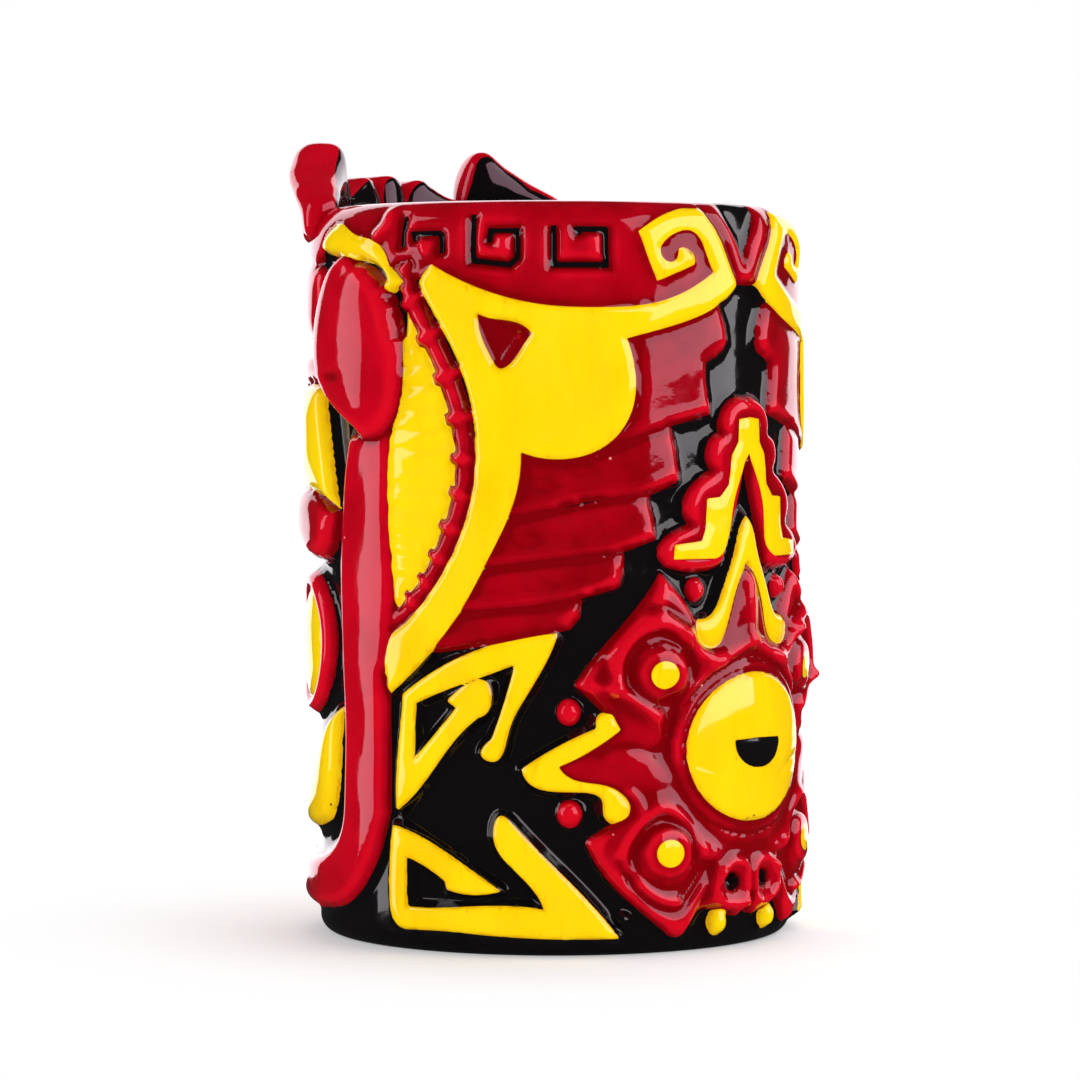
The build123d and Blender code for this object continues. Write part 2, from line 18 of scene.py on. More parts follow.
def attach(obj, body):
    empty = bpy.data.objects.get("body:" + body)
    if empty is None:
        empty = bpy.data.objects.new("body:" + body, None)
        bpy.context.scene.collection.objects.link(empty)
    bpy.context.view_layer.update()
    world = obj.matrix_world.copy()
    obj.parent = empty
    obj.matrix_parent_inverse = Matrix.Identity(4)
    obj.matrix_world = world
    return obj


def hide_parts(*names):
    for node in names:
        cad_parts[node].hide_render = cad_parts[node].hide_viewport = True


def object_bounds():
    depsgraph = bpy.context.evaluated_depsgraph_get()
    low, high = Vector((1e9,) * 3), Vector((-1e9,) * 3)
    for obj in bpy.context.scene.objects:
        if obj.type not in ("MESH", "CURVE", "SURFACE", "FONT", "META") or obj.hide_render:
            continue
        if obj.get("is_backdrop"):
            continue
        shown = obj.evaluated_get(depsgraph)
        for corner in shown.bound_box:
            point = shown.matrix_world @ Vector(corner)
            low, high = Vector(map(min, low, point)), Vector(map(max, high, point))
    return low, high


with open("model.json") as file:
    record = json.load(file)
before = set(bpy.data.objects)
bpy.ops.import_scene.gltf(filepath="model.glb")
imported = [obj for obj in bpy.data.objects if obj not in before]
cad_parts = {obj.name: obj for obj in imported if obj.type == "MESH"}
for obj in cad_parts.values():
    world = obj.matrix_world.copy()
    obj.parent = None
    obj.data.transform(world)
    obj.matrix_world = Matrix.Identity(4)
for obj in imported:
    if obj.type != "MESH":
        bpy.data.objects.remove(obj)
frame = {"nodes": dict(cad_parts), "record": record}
cad_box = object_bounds()
nodes = frame["nodes"]
slot_of = {p["node"]: p["material_slot"] for p in frame["record"]["subparts"]}

MM = 0.001

# The cup, as the frame has it
SEAT_R = 44.0
BORE_R = 39.5
LIP_R = 40.9
FLOOR_Z = 6.0
FLOOR_ROUND = 6.0
FOOT_ROUND = 3.0
SHOULDER_Z = 127.5
RIM_Z = 135.0
ROLL_TOP = 133.0
FRONT = math.pi * SEAT_R

CELL = 0.45  # grid of the height field
MARGIN = 8.0  # distances are measured no further than this
ROLL_FINE = 1.45  # rows over the roll of the lip lie closer than elsewhere
OFF_FACE = 0.06  # how far a point of an outer face may lie off it
CREST_PARTS = ("crest_horn_left", "crest_horn_right", "crest_peaks", "crest_centre")


def in_scene(name, data):
    """A new object, linked into the scene."""
    made = bpy.data.objects.new(name, data)
    bpy.context.scene.collection.objects.link(made)
    return made


# -------------------- the unrolled wall

COLUMNS = int(round(2 * FRONT / CELL))
S_STEP = 2 * FRONT / COLUMNS
S_GRID = np.arange(COLUMNS) * S_STEP


def meridian():
    """Seat points and normals up the outside of the cup: foot rounding, wall, roll of the lip."""
    rows = []
    for a in np.linspace(-math.pi / 2, 0, int(FOOT_ROUND * math.pi / 2 / CELL) + 1)[:-1]:
        r = SEAT_R - FOOT_ROUND + FOOT_ROUND * math.cos(a)
        rows.append((r, FOOT_ROUND + FOOT_ROUND * math.sin(a), math.cos(a), math.sin(a)))
    for z in np.linspace(FOOT_ROUND, SHOULDER_Z, int((SHOULDER_Z - FOOT_ROUND) / CELL) + 1)[:-1]:
        rows.append((SEAT_R, z, 1.0, 0.0))
    wide, tall = SEAT_R - LIP_R, ROLL_TOP - SHOULDER_Z
    for a in np.linspace(0, math.pi / 2, int(tall * ROLL_FINE / CELL) + 1):
        across, up = math.cos(a) / wide, math.sin(a) / tall
        size = math.hypot(across, up)
        rows.append(
            (LIP_R + wide * math.cos(a), SHOULDER_Z + tall * math.sin(a), across / size, up / size)
        )
    return np.array(rows).T


BASE_R, BASE_Z, NORMAL_R, NORMAL_Z = meridian()
ROWS = len(BASE_Z)
ROLL = np.clip((BASE_Z - SHOULDER_Z) / (ROLL_TOP - SHOULDER_Z), 0, 1)
# heights in an outline are those of the glazed face, which rolls over 2 mm above the seat
Z_GRID = BASE_Z + (RIM_Z - ROLL_TOP) * ROLL


def border(triangles, numbers):
    """The edges that only one triangle has, where points of the same number are one."""
    edges = np.concatenate([triangles[:, [0, 1]], triangles[:, [1, 2]], triangles[:, [2, 0]]])
    joined = np.sort(numbers[edges], axis=1)
    _, first, count = np.unique(joined, axis=0, return_index=True, return_counts=True)
    return edges[first[count == 1]]


def face_segments(node):
    """The outline of a node's outer face as segments ((s, z), (s, z)), and the face's height."""
    mesh = nodes[node].data
    points = np.empty(len(mesh.vertices) * 3)
    mesh.vertices.foreach_get("co", points)
    points = points.reshape(-1, 3) / MM
    radius = np.hypot(points[:, 0], points[:, 1])
    wall = points[:, 2] < SHOULDER_Z
    face_r = radius[wall].max() if wall.any() else radius.max()
    roll = np.clip((points[:, 2] - SHOULDER_Z) / (RIM_Z - SHOULDER_Z), 0, 1)
    rolled = LIP_R + (face_r - LIP_R) * np.sqrt(np.maximum(1 - roll**2, 0))
    on_face = np.abs(radius - rolled) < OFF_FACE
    _, weld = np.unique(np.round(points, 2), axis=0, return_inverse=True)
    weld = weld.reshape(-1)
    mesh.calc_loop_triangles()
    triangles = np.empty(len(mesh.loop_triangles) * 3, int)
    mesh.loop_triangles.foreach_get("vertices", triangles)
    triangles = triangles.reshape(-1, 3)
    triangles = triangles[on_face[triangles].all(axis=1)]
    edges = border(triangles, weld)
    u = np.arctan2(points[:, 0], points[:, 1])
    used = u[edges.ravel()]
    middle = math.atan2(np.sin(used).mean(), np.cos(used).mean())
    s = SEAT_R * (middle + (u - middle + math.pi) % (2 * math.pi) - math.pi)
    flat = np.stack([s, points[:, 2]], axis=1)
    return flat[edges], face_r - SEAT_R


def window(segments):
    """The grid columns round an outline. They may run past the seam: a column number wraps."""
    first = int(math.floor((segments[:, :, 0].min() - MARGIN) / S_STEP))
    last = int(math.ceil((segments[:, :, 0].max() + MARGIN) / S_STEP))
    return np.arange(first, min(last, first + COLUMNS - 1) + 1)


def off_segment(ds, dz, es, ez):
    """Distance of points, at (ds, dz) from its start, from a segment that runs (es, ez)."""
    along = np.clip((ds * es + dz * ez) / max(es * es + ez * ez, 1e-12), 0, 1)
    return np.hypot(ds - along * es, dz - along * ez)


def distance_to(segments, columns):
    """Distance from every grid point in some columns to the nearest of some segments."""
    s = columns * S_STEP
    distance = np.full((ROWS, len(columns)), MARGIN)
    for (s0, z0), (s1, z1) in segments:
        i0 = max(int((min(s0, s1) - MARGIN - s[0]) / S_STEP), 0)
        i1 = max(int((max(s0, s1) + MARGIN - s[0]) / S_STEP) + 2, 0)
        j0, j1 = np.searchsorted(Z_GRID, (min(z0, z1) - MARGIN, max(z0, z1) + MARGIN))
        ds, dz = s[i0:i1][None, :] - s0, Z_GRID[j0:j1][:, None] - z0
        block = distance[j0:j1, i0:i1]
        np.minimum(block, off_segment(ds, dz, s1 - s0, z1 - z0), out=block)
    return distance


def inside_of(segments, columns):
    """Which grid points in some columns an outline encloses, by counting crossings."""
    s = columns * S_STEP
    inside = np.zeros((ROWS, len(columns)), bool)
    for (s0, z0), (s1, z1) in segments:
        rows = np.nonzero((Z_GRID > min(z0, z1)) & (Z_GRID <= max(z0, z1)))[0]
        crossing = s0 + (Z_GRID[rows] - z0) * (s1 - s0) / ((z1 - z0) or 1)
        for row, first in zip(rows, np.ceil((crossing - s[0]) / S_STEP).astype(int)):
            inside[row, max(first, 0) :] ^= True
    return inside


SPRIGS = sorted(n for n in nodes if n != "mug_body" and n not in CREST_PARTS)
outlines, fields, face_height = {}, {}, {}
nearest = np.full((ROWS, COLUMNS), -MARGIN)
rival = np.full((ROWS, COLUMNS), -MARGIN)
owner = np.zeros((ROWS, COLUMNS), int)
for number, name in enumerate(SPRIGS):
    outline, face_height[name] = face_segments(name)
    columns = window(outline)
    distance = distance_to(outline, columns)
    field = np.where(inside_of(outline, columns), distance, -distance)
    outlines[name], fields[name] = outline, (columns, field)
    wrap = columns % COLUMNS
    better = field > nearest[:, wrap]
    rival[:, wrap] = np.where(better, nearest[:, wrap], np.maximum(rival[:, wrap], field))
    nearest[:, wrap] = np.where(better, field, nearest[:, wrap])
    owner[:, wrap] = np.where(better, number, owner[:, wrap])
GROWN = 0.16  # each sprig is cut this far outside its outline, so that neighbours close up
LEAST = 0.03  # keeps a cut off the grid points, so that it leaves no slivers
covered = nearest > -GROWN


SEAM_REACH = 0.5  # how far to the side of an outline its neighbours are looked for


def either_side(outline, area):
    """Whether an area of the grid lies on one side and on the other of each segment."""
    middle = outline.mean(axis=1)
    run = outline[:, 1] - outline[:, 0]
    across = np.stack([-run[:, 1], run[:, 0]], axis=1) / np.hypot(*run.T)[:, None].clip(1e-9)
    for s, z in ((middle + across * SEAM_REACH).T, (middle - across * SEAM_REACH).T):
        rows = np.clip(np.searchsorted(Z_GRID, z), 0, ROWS - 1)
        yield area[rows, np.round(s / S_STEP).astype(int) % COLUMNS]


def exposed(outline):
    """The segments of an outline that border the bare wall, not another sprig."""
    one, two = either_side(outline, covered)
    return outline[~(one & two)]


to_wall = np.full((ROWS, COLUMNS), MARGIN)
for name in SPRIGS:
    columns, _ = fields[name]
    wrap = columns % COLUMNS
    to_wall[:, wrap] = np.minimum(to_wall[:, wrap], distance_to(exposed(outlines[name]), columns))
to_wall = np.where(covered, to_wall, -to_wall)


def share_of(name):
    """Distance inside a sprig's own part of the wall, which ends where a neighbour's begins."""
    columns, field = fields[name]
    wrap = columns % COLUMNS
    mine = owner[:, wrap] == SPRIGS.index(name)
    other = np.where(mine, rival[:, wrap], nearest[:, wrap])
    inward = np.minimum(field + GROWN, (field - other) / 2)
    mine &= nearest[:, wrap] > -GROWN
    return np.where(mine, np.maximum(inward, LEAST), np.minimum(inward, -LEAST))


# -------------------- the height field

def blur(field, sigma):
    """Gaussian blur by repeated passes; columns wrap round the mug, rows stop at the ends."""
    reach = int(math.ceil(3 * sigma / CELL))
    weights = np.exp(-0.5 * (np.arange(-reach, reach + 1) * CELL / sigma) ** 2)
    weights /= weights.sum()
    across = sum(w * np.roll(field, k - reach, axis=1) for k, w in enumerate(weights))
    padded = np.pad(across, ((reach, reach), (0, 0)), mode="edge")
    return sum(w * padded[k : k + ROWS] for k, w in enumerate(weights))


def dome(t):
    """0 at the edge to 1 in the middle, as a quarter of an ellipse."""
    return np.sqrt(1 - (1 - np.clip(t, 0, 1)) ** 2)


# share of each sprig's height that is crowned, width of the crown, width of its shoulder, depth of
# the seam with a neighbour, and the part of its height that its own colour starts at
STYLE = {
    "jaw_frame": (0.2, 5.0, 2.4, 0.5, 0.3),
    "bulb": (0.45, 8.0, 2.2, 0.8, 0.2),
    "nose": (0.5, 9.0, 1.6, 0.5, 0.3),
    "rope": (0.6, 2.3, 1.2, 0.7, 0.35),
    "fin": (0.1, 3.0, 1.4, 0.5, 0.5),
    "brow_leaf": (0.35, 2.6, 1.2, 0.5, 0.5),
    "wing_scroll": (0.06, 3.0, 1.0, 0.3, 0.75),
    "wing_windows": (0.0, 1.0, 0.8, 0.3, 0.5),
    "feather": (0.2, 3.6, 2.2, 0.15, 0.25),
    "rim_band": (0.12, 2.0, 1.3, 0.25, 0.3),
    "rear_v": (0.5, 2.0, 1.3, 0.5, 0.3),
    "rear_mask": (0.3, 6.0, 1.6, 0.4, 0.25),
    "tower_inlay": (0.15, 1.6, 0.8, 0.12, 0.7),
    "tower": (0.15, 1.6, 1.5, 0.12, 0.25),
    "mask_eyeballs": (0.0, 2.0, 1.2, 0.1, 0.4),
    "mask_irises": (0.0, 2.0, 1.0, 0.08, 0.6),
    "eye_ring": (0.15, 1.4, 1.2, 0.2, 0.3),
    "big_eye": (0.0, 3.0, 1.2, 0.25, 0.6),
    "pupil": (0.0, 3.0, 1.2, 0.1, 0.6),
    "front_brow": (0.5, 6.0, 1.6, 0.5, 0.3),
    "front_lids": (0.5, 4.0, 1.4, 0.5, 0.3),
    "front_eyes": (0.4, 9.0, 1.4, 0.4, 0.5),
    "front_pupils": (0.2, 5.0, 1.4, 0.2, 0.6),
    "eye_bags": (0.6, 5.0, 1.4, 0.5, 0.25),
    "cheek_rings": (0.5, 2.4, 1.4, 0.5, 0.3),
    "cheek_discs": (0.4, 9.0, 1.4, 0.5, 0.6),
    "upper_lip": (0.5, 3.6, 1.4, 0.5, 0.3),
    "tusks": (0.5, 5.0, 1.4, 0.5, 0.5),
    "teeth": (0.25, 2.6, 1.2, 0.4, 0.6),
    "red_studs": (0.6, 2.1, 1.0, 0.3, 0.3),
    "black_studs": (0.6, 1.4, 1.0, 0.3, 0.3),
    "chevron": (0.2, 2.0, 0.9, 0.35, 0.8),
    "zigzag": (0.15, 2.0, 0.9, 0.35, 0.8),
    "upper_glyph": (0.15, 2.0, 0.8, 0.3, 0.85),
    "lower_glyph": (0.15, 2.0, 0.8, 0.3, 0.85),
    "nostril_drops": (0.5, 2.0, 1.0, 0.3, 0.4),
}
FILLET = 1.7  # width of the round of bare wall at the foot of a sprig


def style(name):
    return next(values for prefix, values in STYLE.items() if name.startswith(prefix))


# ---- carving on the faces of the sprigs

SIDE = np.abs((S_GRID + FRONT) % (2 * FRONT) - FRONT)  # way round from the rear, on either side


def curve(*points, steps=8):
    """A smooth line through some (s, z) points."""
    p = np.array([points[0], *points, points[-1]], float)
    t = np.linspace(0, 1, steps, endpoint=False)[:, None]
    runs = []
    for a, b, c, d in zip(p, p[1:], p[2:], p[3:]):
        square, cube = 2 * a - 5 * b + 4 * c - d, 3 * b - a - 3 * c + d
        runs.append(0.5 * (2 * b + (c - a) * t + square * t**2 + cube * t**3))
    return np.concatenate([*runs, p[-1:]])


def away_from(line, reach):
    """Distance of every grid point from a line, on both sides of the mug, up to a reach."""
    distance = np.full((ROWS, COLUMNS), np.inf)
    for (s0, z0), (s1, z1) in zip(line, line[1:]):
        cols = np.nonzero((SIDE > min(s0, s1) - reach) & (SIDE < max(s0, s1) + reach))[0]
        rows = np.arange(*np.searchsorted(Z_GRID, (min(z0, z1) - reach, max(z0, z1) + reach)))
        if not len(cols) or not len(rows):
            continue
        ds, dz = SIDE[cols][None, :] - s0, Z_GRID[rows][:, None] - z0
        place, far = np.ix_(rows, cols), off_segment(ds, dz, s1 - s0, z1 - z0)
        distance[place] = np.minimum(distance[place], far)
    return distance


def raised(line, width, rise):
    """A rounded ridge along a line, or a groove where rise is negative."""
    return rise * np.exp(-((away_from(line, 3 * width) / width) ** 2))


def mound(s, z, half_s, half_z, rise, power=0.5):
    """An oval dome, or a dish where rise is negative."""
    q = ((SIDE[None, :] - s) / half_s) ** 2 + ((Z_GRID[:, None] - z) / half_z) ** 2
    return rise * np.clip(1 - q, 0, 1) ** power


def on(*prefixes):
    """Where the sprigs of some names are."""
    numbers = [k for k, name in enumerate(SPRIGS) if name.startswith(prefixes)]
    return covered & np.isin(owner, numbers)


# lines over the mask's face: width, rise, then the points of each
MASK_LINES = [
    # the folded peak over the upper eye, and the corner beside it
    (1.3, 0.6, (19.3, 67.8), (19.4, 65.0), (19.2, 62.2)),
    (1.0, 0.5, (33.6, 48.6), (30.5, 48.4), (27.8, 48.0)),
    # brow over the upper eye, the grooves round it, and the groove round the lower eye
    (2.0, 1.3, (27.2, 49.0), (27.2, 53.0), (25.2, 56.8), (22.0, 59.0), (18.5, 59.6), (15.0, 57.4)),
    (1.6, 1.0, (15.0, 57.4), (12.6, 55.0), (10.0, 53.4), (8.0, 53.0)),
    (0.8, -0.4, (29.6, 50.5), (29.2, 54.5), (26.6, 59.2), (22.6, 62.0), (18.6, 62.3), (14.0, 59.4)),
    (0.9, -0.7, (25.2, 48.8), (25.2, 53.4), (22.6, 57.0), (18.2, 57.6), (14.4, 54.8), (13.2, 50.6)),
    (0.9, -0.6, (24.4, 14.0), (24.6, 19.0), (21.6, 23.4), (18.4, 24.6), (15.0, 22.6), (12.9, 18.0)),
    # its lower lid
    (1.3, 1.0, (27.0, 47.8), (23.5, 45.6), (20.0, 43.2)),
    # brow over the lower eye
    (1.5, 0.9, (26.4, 18.4), (25.2, 21.0), (22.6, 24.4), (19.0, 26.6), (16.0, 24.6), (13.2, 20.4),
     (9.6, 17.4)),
    # its lower lid, then the grooves that run into a point below it
    (0.9, 0.7, (25.4, 16.4), (22.4, 12.6), (19.2, 10.4), (16.2, 9.8)),
    (0.7, -0.6, (26.8, 17.2), (24.0, 12.4), (20.0, 8.8), (16.6, 7.9), (14.2, 9.3), (10.6, 14.0),
     (8.7, 17.0)),
    (0.9, -0.7, (15.0, 10.6), (12.6, 13.8), (11.0, 16.6)),
    # the fold round the rear eye, with the bridge of the nose above it
    (1.4, 0.9, (14.9, 40.6), (14.2, 45.0), (11.4, 49.8), (7.0, 52.6), (3.0, 54.6), (0.0, 56.0)),
    (1.3, 0.7, (0.0, 66.5), (0.0, 60.0), (0.0, 56.0)),
    # the fold under the rear eye
    (1.2, 0.5, (13.8, 31.0), (10.6, 25.6), (5.6, 21.6), (0.0, 20.2)),
    # cheek
    (0.9, 0.5, (25.0, 29.6), (23.6, 28.0), (23.2, 26.6)),
    (1.4, -0.5, (20.0, 36.8), (26.0, 38.0), (30.0, 36.6)),
    (2.2, -0.8, (17.6, 46.0), (17.2, 40.0), (18.6, 36.0)),
    # snout: wings of the nostrils, their lower edge and the cleft
    (1.0, 0.8, (7.4, 14.4), (8.6, 11.6), (7.0, 9.0), (4.0, 8.4), (1.4, 8.6)),
    (0.9, 0.7, (7.2, 14.6), (4.4, 16.2), (1.4, 15.2), (1.0, 11.6), (1.4, 8.6)),
    (0.6, -0.8, (0.0, 6.5), (0.0, 9.8)),
    (0.9, -0.6, (10.0, 18.0), (9.4, 12.0), (11.4, 8.0)),
]
# its bulging eyes, then its nostrils: s, z, half width, half height, rise, power
MASK_MOUNDS = [
    (19.2, 50.9, 5.8, 5.6, 1.4, 0.5),
    (18.3, 17.9, 5.4, 5.8, 1.4, 0.5),
    (4.1, 12.4, 1.9, 1.9, -2.4, 0.8),
]
BAND_LINES = [
    (1.1, 0.8, (69.4, 133.2), (69.6, 131.0), (71.6, 129.0)),
    (0.8, 0.5, (60.9, 125.8), (61.4, 127.2), (62.6, 127.6)),
    (0.8, 0.5, (46.4, 126.2), (46.6, 128.2)),
]
# the beads of the rope: where each begins, and how far it runs
ROPE_BEADS = [
    (64.4, 118.2, -3.6, -6.2), (60.8, 112.0, -3.6, -7.0), (57.2, 105.0, -2.6, -7.5),
    (54.6, 97.5, -1.3, -7.5), (53.3, 90.0, 0.2, -6.5), (53.5, 83.5, 1.9, -6.2),
    (55.4, 77.3, 2.2, -5.5), (57.6, 71.8, 2.4, -4.8), (60.0, 67.0, 2.8, -3.5),
    (62.8, 63.5, 2.8, -2.9),
]
COLLAR_AT = 0.14  # how far along its bead a collar sits
COLLAR_HALF = 1.9
COLLAR_WIDTH, COLLAR_RISE = 1.05, 0.65
FIN_GROOVES = [
    ((65.2, 108.5), (60.5, 110.5)), ((65.0, 105.0), (59.4, 107.0)),
    ((65.3, 101.5), (58.6, 103.2)), ((66.0, 97.2), (56.6, 99.2)),
    ((69.0, 93.0), (55.4, 95.6)), ((68.8, 90.4), (54.8, 91.2)),
    ((69.4, 87.4), (54.6, 87.4)), ((69.5, 84.2), (55.2, 83.6)),
    ((69.5, 80.4), (56.0, 78.6)), ((69.0, 75.4), (58.4, 73.4)),
    ((68.4, 71.6), (60.2, 70.2)), ((68.0, 67.6), (61.4, 66.6)),
]
FIN_WIDTH = 1.15
FIN_DEPTH, FIN_DEEPER = 0.3, 0.1  # the grooves take three depths in turn
FEATHER_EDGES = [
    [(8.0, 97.0), (19.5, 94.2), (24.0, 92.6), (30.0, 90.5)],
    [(14.8, 85.4), (21.5, 82.8), (28.0, 81.9), (40.0, 79.6), (47.5, 77.9)],
    [(19.4, 74.6), (25.5, 72.6), (40.0, 70.8), (51.0, 69.3)],
    [(26.3, 66.2), (33.0, 64.3), (40.0, 63.0), (55.0, 61.5)],
]
FEATHER_LOOPS = [(40.0, 84.4), (42.5, 74.4), (33.0, 87.0), (40.0, 66.4)]

SCULPTED = 1.3  # how boldly the folds are modelled
EYE_Z, EYE_HALF_S, EYE_HALF_Z = 36.8, 15.4, 14.0
RING_SUNK = 0.55
EYEBALL_SUNK = 0.75
FRONT_PUPIL_SUNK = 0.9

carving = np.zeros((ROWS, COLUMNS))


def carve(names, *rises):
    """Add some rises to the faces of the sprigs whose names begin with one of some words."""
    carving[:] += np.where(on(*names.split()), sum(rises), 0)


def folds(lines):
    """The rise of all the folds of a table of lines."""
    return sum(raised(curve(*line), width, SCULPTED * rise) for width, rise, *line in lines)


carve("rear_mask mask_", folds(MASK_LINES) + sum(mound(*one) for one in MASK_MOUNDS))
carve("rim_band", folds(BAND_LINES))
carve(
    "big_eye pupil",
    mound(0, EYE_Z, EYE_HALF_S, EYE_HALF_Z, 1.1, 0.8),
    raised(curve((14.2, 34.6), (10.4, 33.4), (6.4, 31.6)), 0.8, -0.22),
)
carve("eye_ring", -RING_SUNK)
carve("mask_eyeballs mask_irises", -EYEBALL_SUNK)
for s, z, ds, dz in ROPE_BEADS:
    middle = np.array([s + COLLAR_AT * ds, z + COLLAR_AT * dz])
    across = np.array([-dz, ds]) / math.hypot(ds, dz) * COLLAR_HALF
    carve("rope", raised([middle - across, middle + across], COLLAR_WIDTH, COLLAR_RISE))
for number, groove in enumerate(FIN_GROOVES):
    carve("fin", raised(groove, FIN_WIDTH, -FIN_DEPTH - FIN_DEEPER * (number % 3)))
for edge_line in FEATHER_EDGES:
    low = curve(*edge_line)
    carve("feather", raised(low + (0, 1.1), 1.0, 0.3), raised(low - (0, 0.7), 0.8, -0.35))
for s, z in FEATHER_LOOPS:
    loop = curve((s - 3.4, z), (s, z + 1.3), (s + 3.2, z + 0.4), (s, z - 1.2), (s - 3.4, z))
    carve("feather", raised(loop, 0.35, -0.1))
# the bulb's dent, and the swell that it lies in
carve("bulb", mound(79.5, 103.6, 3.4, 1.4, -0.6, 1.0))
carve("bulb", mound(78.0, 106.0, 17.0, 21.0, 1.7, 1.0))
carve("front_pupils", -FRONT_PUPIL_SUNK)
carve("wing_windows", raised(curve((43.4, 110.8), (45.6, 107.6), (46.8, 105.6)), 0.9, 0.9))
carve("wing_windows", raised(curve((50.0, 113.6), (46.4, 111.6), (43.6, 110.8)), 0.8, 0.5))

# sprigs that run on under some neighbours, and aren't rounded down towards them
RUNS_UNDER = {"jaw_frame": ("bulb",), "rim_band_left": ("wing",), "rim_band_right": ("wing",)}


def apart_from(outline, neighbours):
    """The segments of an outline that don't border some other sprigs."""
    one, two = either_side(outline, on(*neighbours))
    return outline[~(one | two)]


BLENDED = 0.45  # blur between the heights of neighbours
SEAM_WIDTH = 0.9
SEAM_FADE = 2.0  # a seam and a carving run out towards the bare wall over these widths
CARVING_FADE = 1.5
MELTED = 0.3  # blur of the finished relief
styles = np.array([style(name) for name in SPRIGS])
share, crown, shoulder, seam, edge_share = (styles[:, k][owner] for k in range(5))
height = np.array([face_height[name] for name in SPRIGS])[owner]
inner = nearest.copy()
for name, neighbours in RUNS_UNDER.items():
    columns, field = fields[name]
    wrap = columns % COLUMNS
    free = distance_to(apart_from(outlines[name], neighbours), columns)
    own = (owner[:, wrap] == SPRIGS.index(name)) & (field > 0)
    inner[:, wrap] = np.where(own, free, inner[:, wrap])
height = height * (1 - share + share * dome(inner / crown))
weight = covered.astype(float)
blended = blur(height * weight, BLENDED) / blur(weight, BLENDED).clip(1e-6)
height = np.where(covered, blended, height)
outward = np.clip(-to_wall / FILLET, 0, 1)
rise = np.where(
    covered,
    edge_share + (1 - edge_share) * dome(to_wall / shoulder),
    edge_share * (1 - outward**2 * (3 - 2 * outward)),
)
relief = height * rise
groove = seam * (1 - np.clip(nearest / SEAM_WIDTH, 0, 1)) ** 2
relief -= np.where(covered, groove, 0) * np.clip(to_wall / SEAM_FADE, 0, 1)
relief += carving * np.clip(to_wall / CARVING_FADE, 0, 1)
relief = blur(relief, MELTED)

# a hand-finished surface is never quite true: slow waves, at most a fifth of a millimetre
WAVES = 14
WAVE_RISE = 0.024
WAVE_SEED = 7
WAVE_TURNS, WAVE_CLIMB, WAVE_PHASE = (3, 20), 0.35, 6.3
S_WAVE = (S_GRID / SEAT_R)[None, :]
Z_WAVE = Z_GRID[:, None]
rng = np.random.default_rng(WAVE_SEED)
settled = np.clip(BASE_Z / FOOT_ROUND, 0, 1)[:, None]  # nothing passes below the foot
for _ in range(WAVES):
    turns = rng.integers(*WAVE_TURNS)
    climb, phase = rng.uniform(-WAVE_CLIMB, WAVE_CLIMB), rng.uniform(0, WAVE_PHASE)
    relief += WAVE_RISE * settled * np.sin(turns * S_WAVE + climb * Z_WAVE + phase)
relief *= settled

# at the top of the roll of the lip the relief ends at the height of the rim
top = ROLL[:, None] ** 5
relief = relief * (1 - top) + (RIM_Z - ROLL_TOP) * top

BEDDED = 0.35  # how far the back of the glaze lies inside the cup's wall


def wall_points(rise):
    """The points that lie some rise outside the seat, all over the grid."""
    radius, u = BASE_R[:, None] + rise * NORMAL_R[:, None], (S_GRID / SEAT_R)[None, :]
    z = BASE_Z[:, None] + rise * NORMAL_Z[:, None]
    return np.stack([radius * np.sin(u), radius * np.cos(u), z], axis=-1)


SURFACE = wall_points(relief)
SEAT = wall_points(np.full(relief.shape, -BEDDED))
along_s = np.roll(SURFACE, -1, axis=1) - np.roll(SURFACE, 1, axis=1)
along_t = np.gradient(SURFACE, axis=0)
NORMALS = np.cross(along_t, along_s)
NORMALS /= np.linalg.norm(NORMALS, axis=-1, keepdims=True)
if (NORMALS[ROWS // 2] * SEAT[ROWS // 2]).sum() < 0:
    NORMALS = -NORMALS
HOLLOW_WIDTH = 1.3
HOLLOW = relief - blur(relief, HOLLOW_WIDTH)  # below zero in hollows, above it on ridges


# -------------------- sprigs

def new_object(name, points, faces, normals=None, **attributes):
    """A mesh object from millimetre points, with values per point for its glaze."""
    mesh = bpy.data.meshes.new(name)
    mesh.from_pydata((np.asarray(points) * MM).tolist(), [], faces)
    for key, values in attributes.items():
        layer = mesh.attributes.new(key, "FLOAT", "POINT")
        layer.data.foreach_set("value", np.asarray(values, np.float32))
    mesh.polygons.foreach_set("use_smooth", [True] * len(mesh.polygons))
    mesh.validate()
    if normals is not None:
        mesh.normals_split_custom_set_from_vertices(np.asarray(normals).tolist())
    return in_scene(name, mesh)


STEPS = {"across": (0.0, 1.0), "up": (1.0, 0.0), "slant": (1.0, 1.0)}  # rows, columns


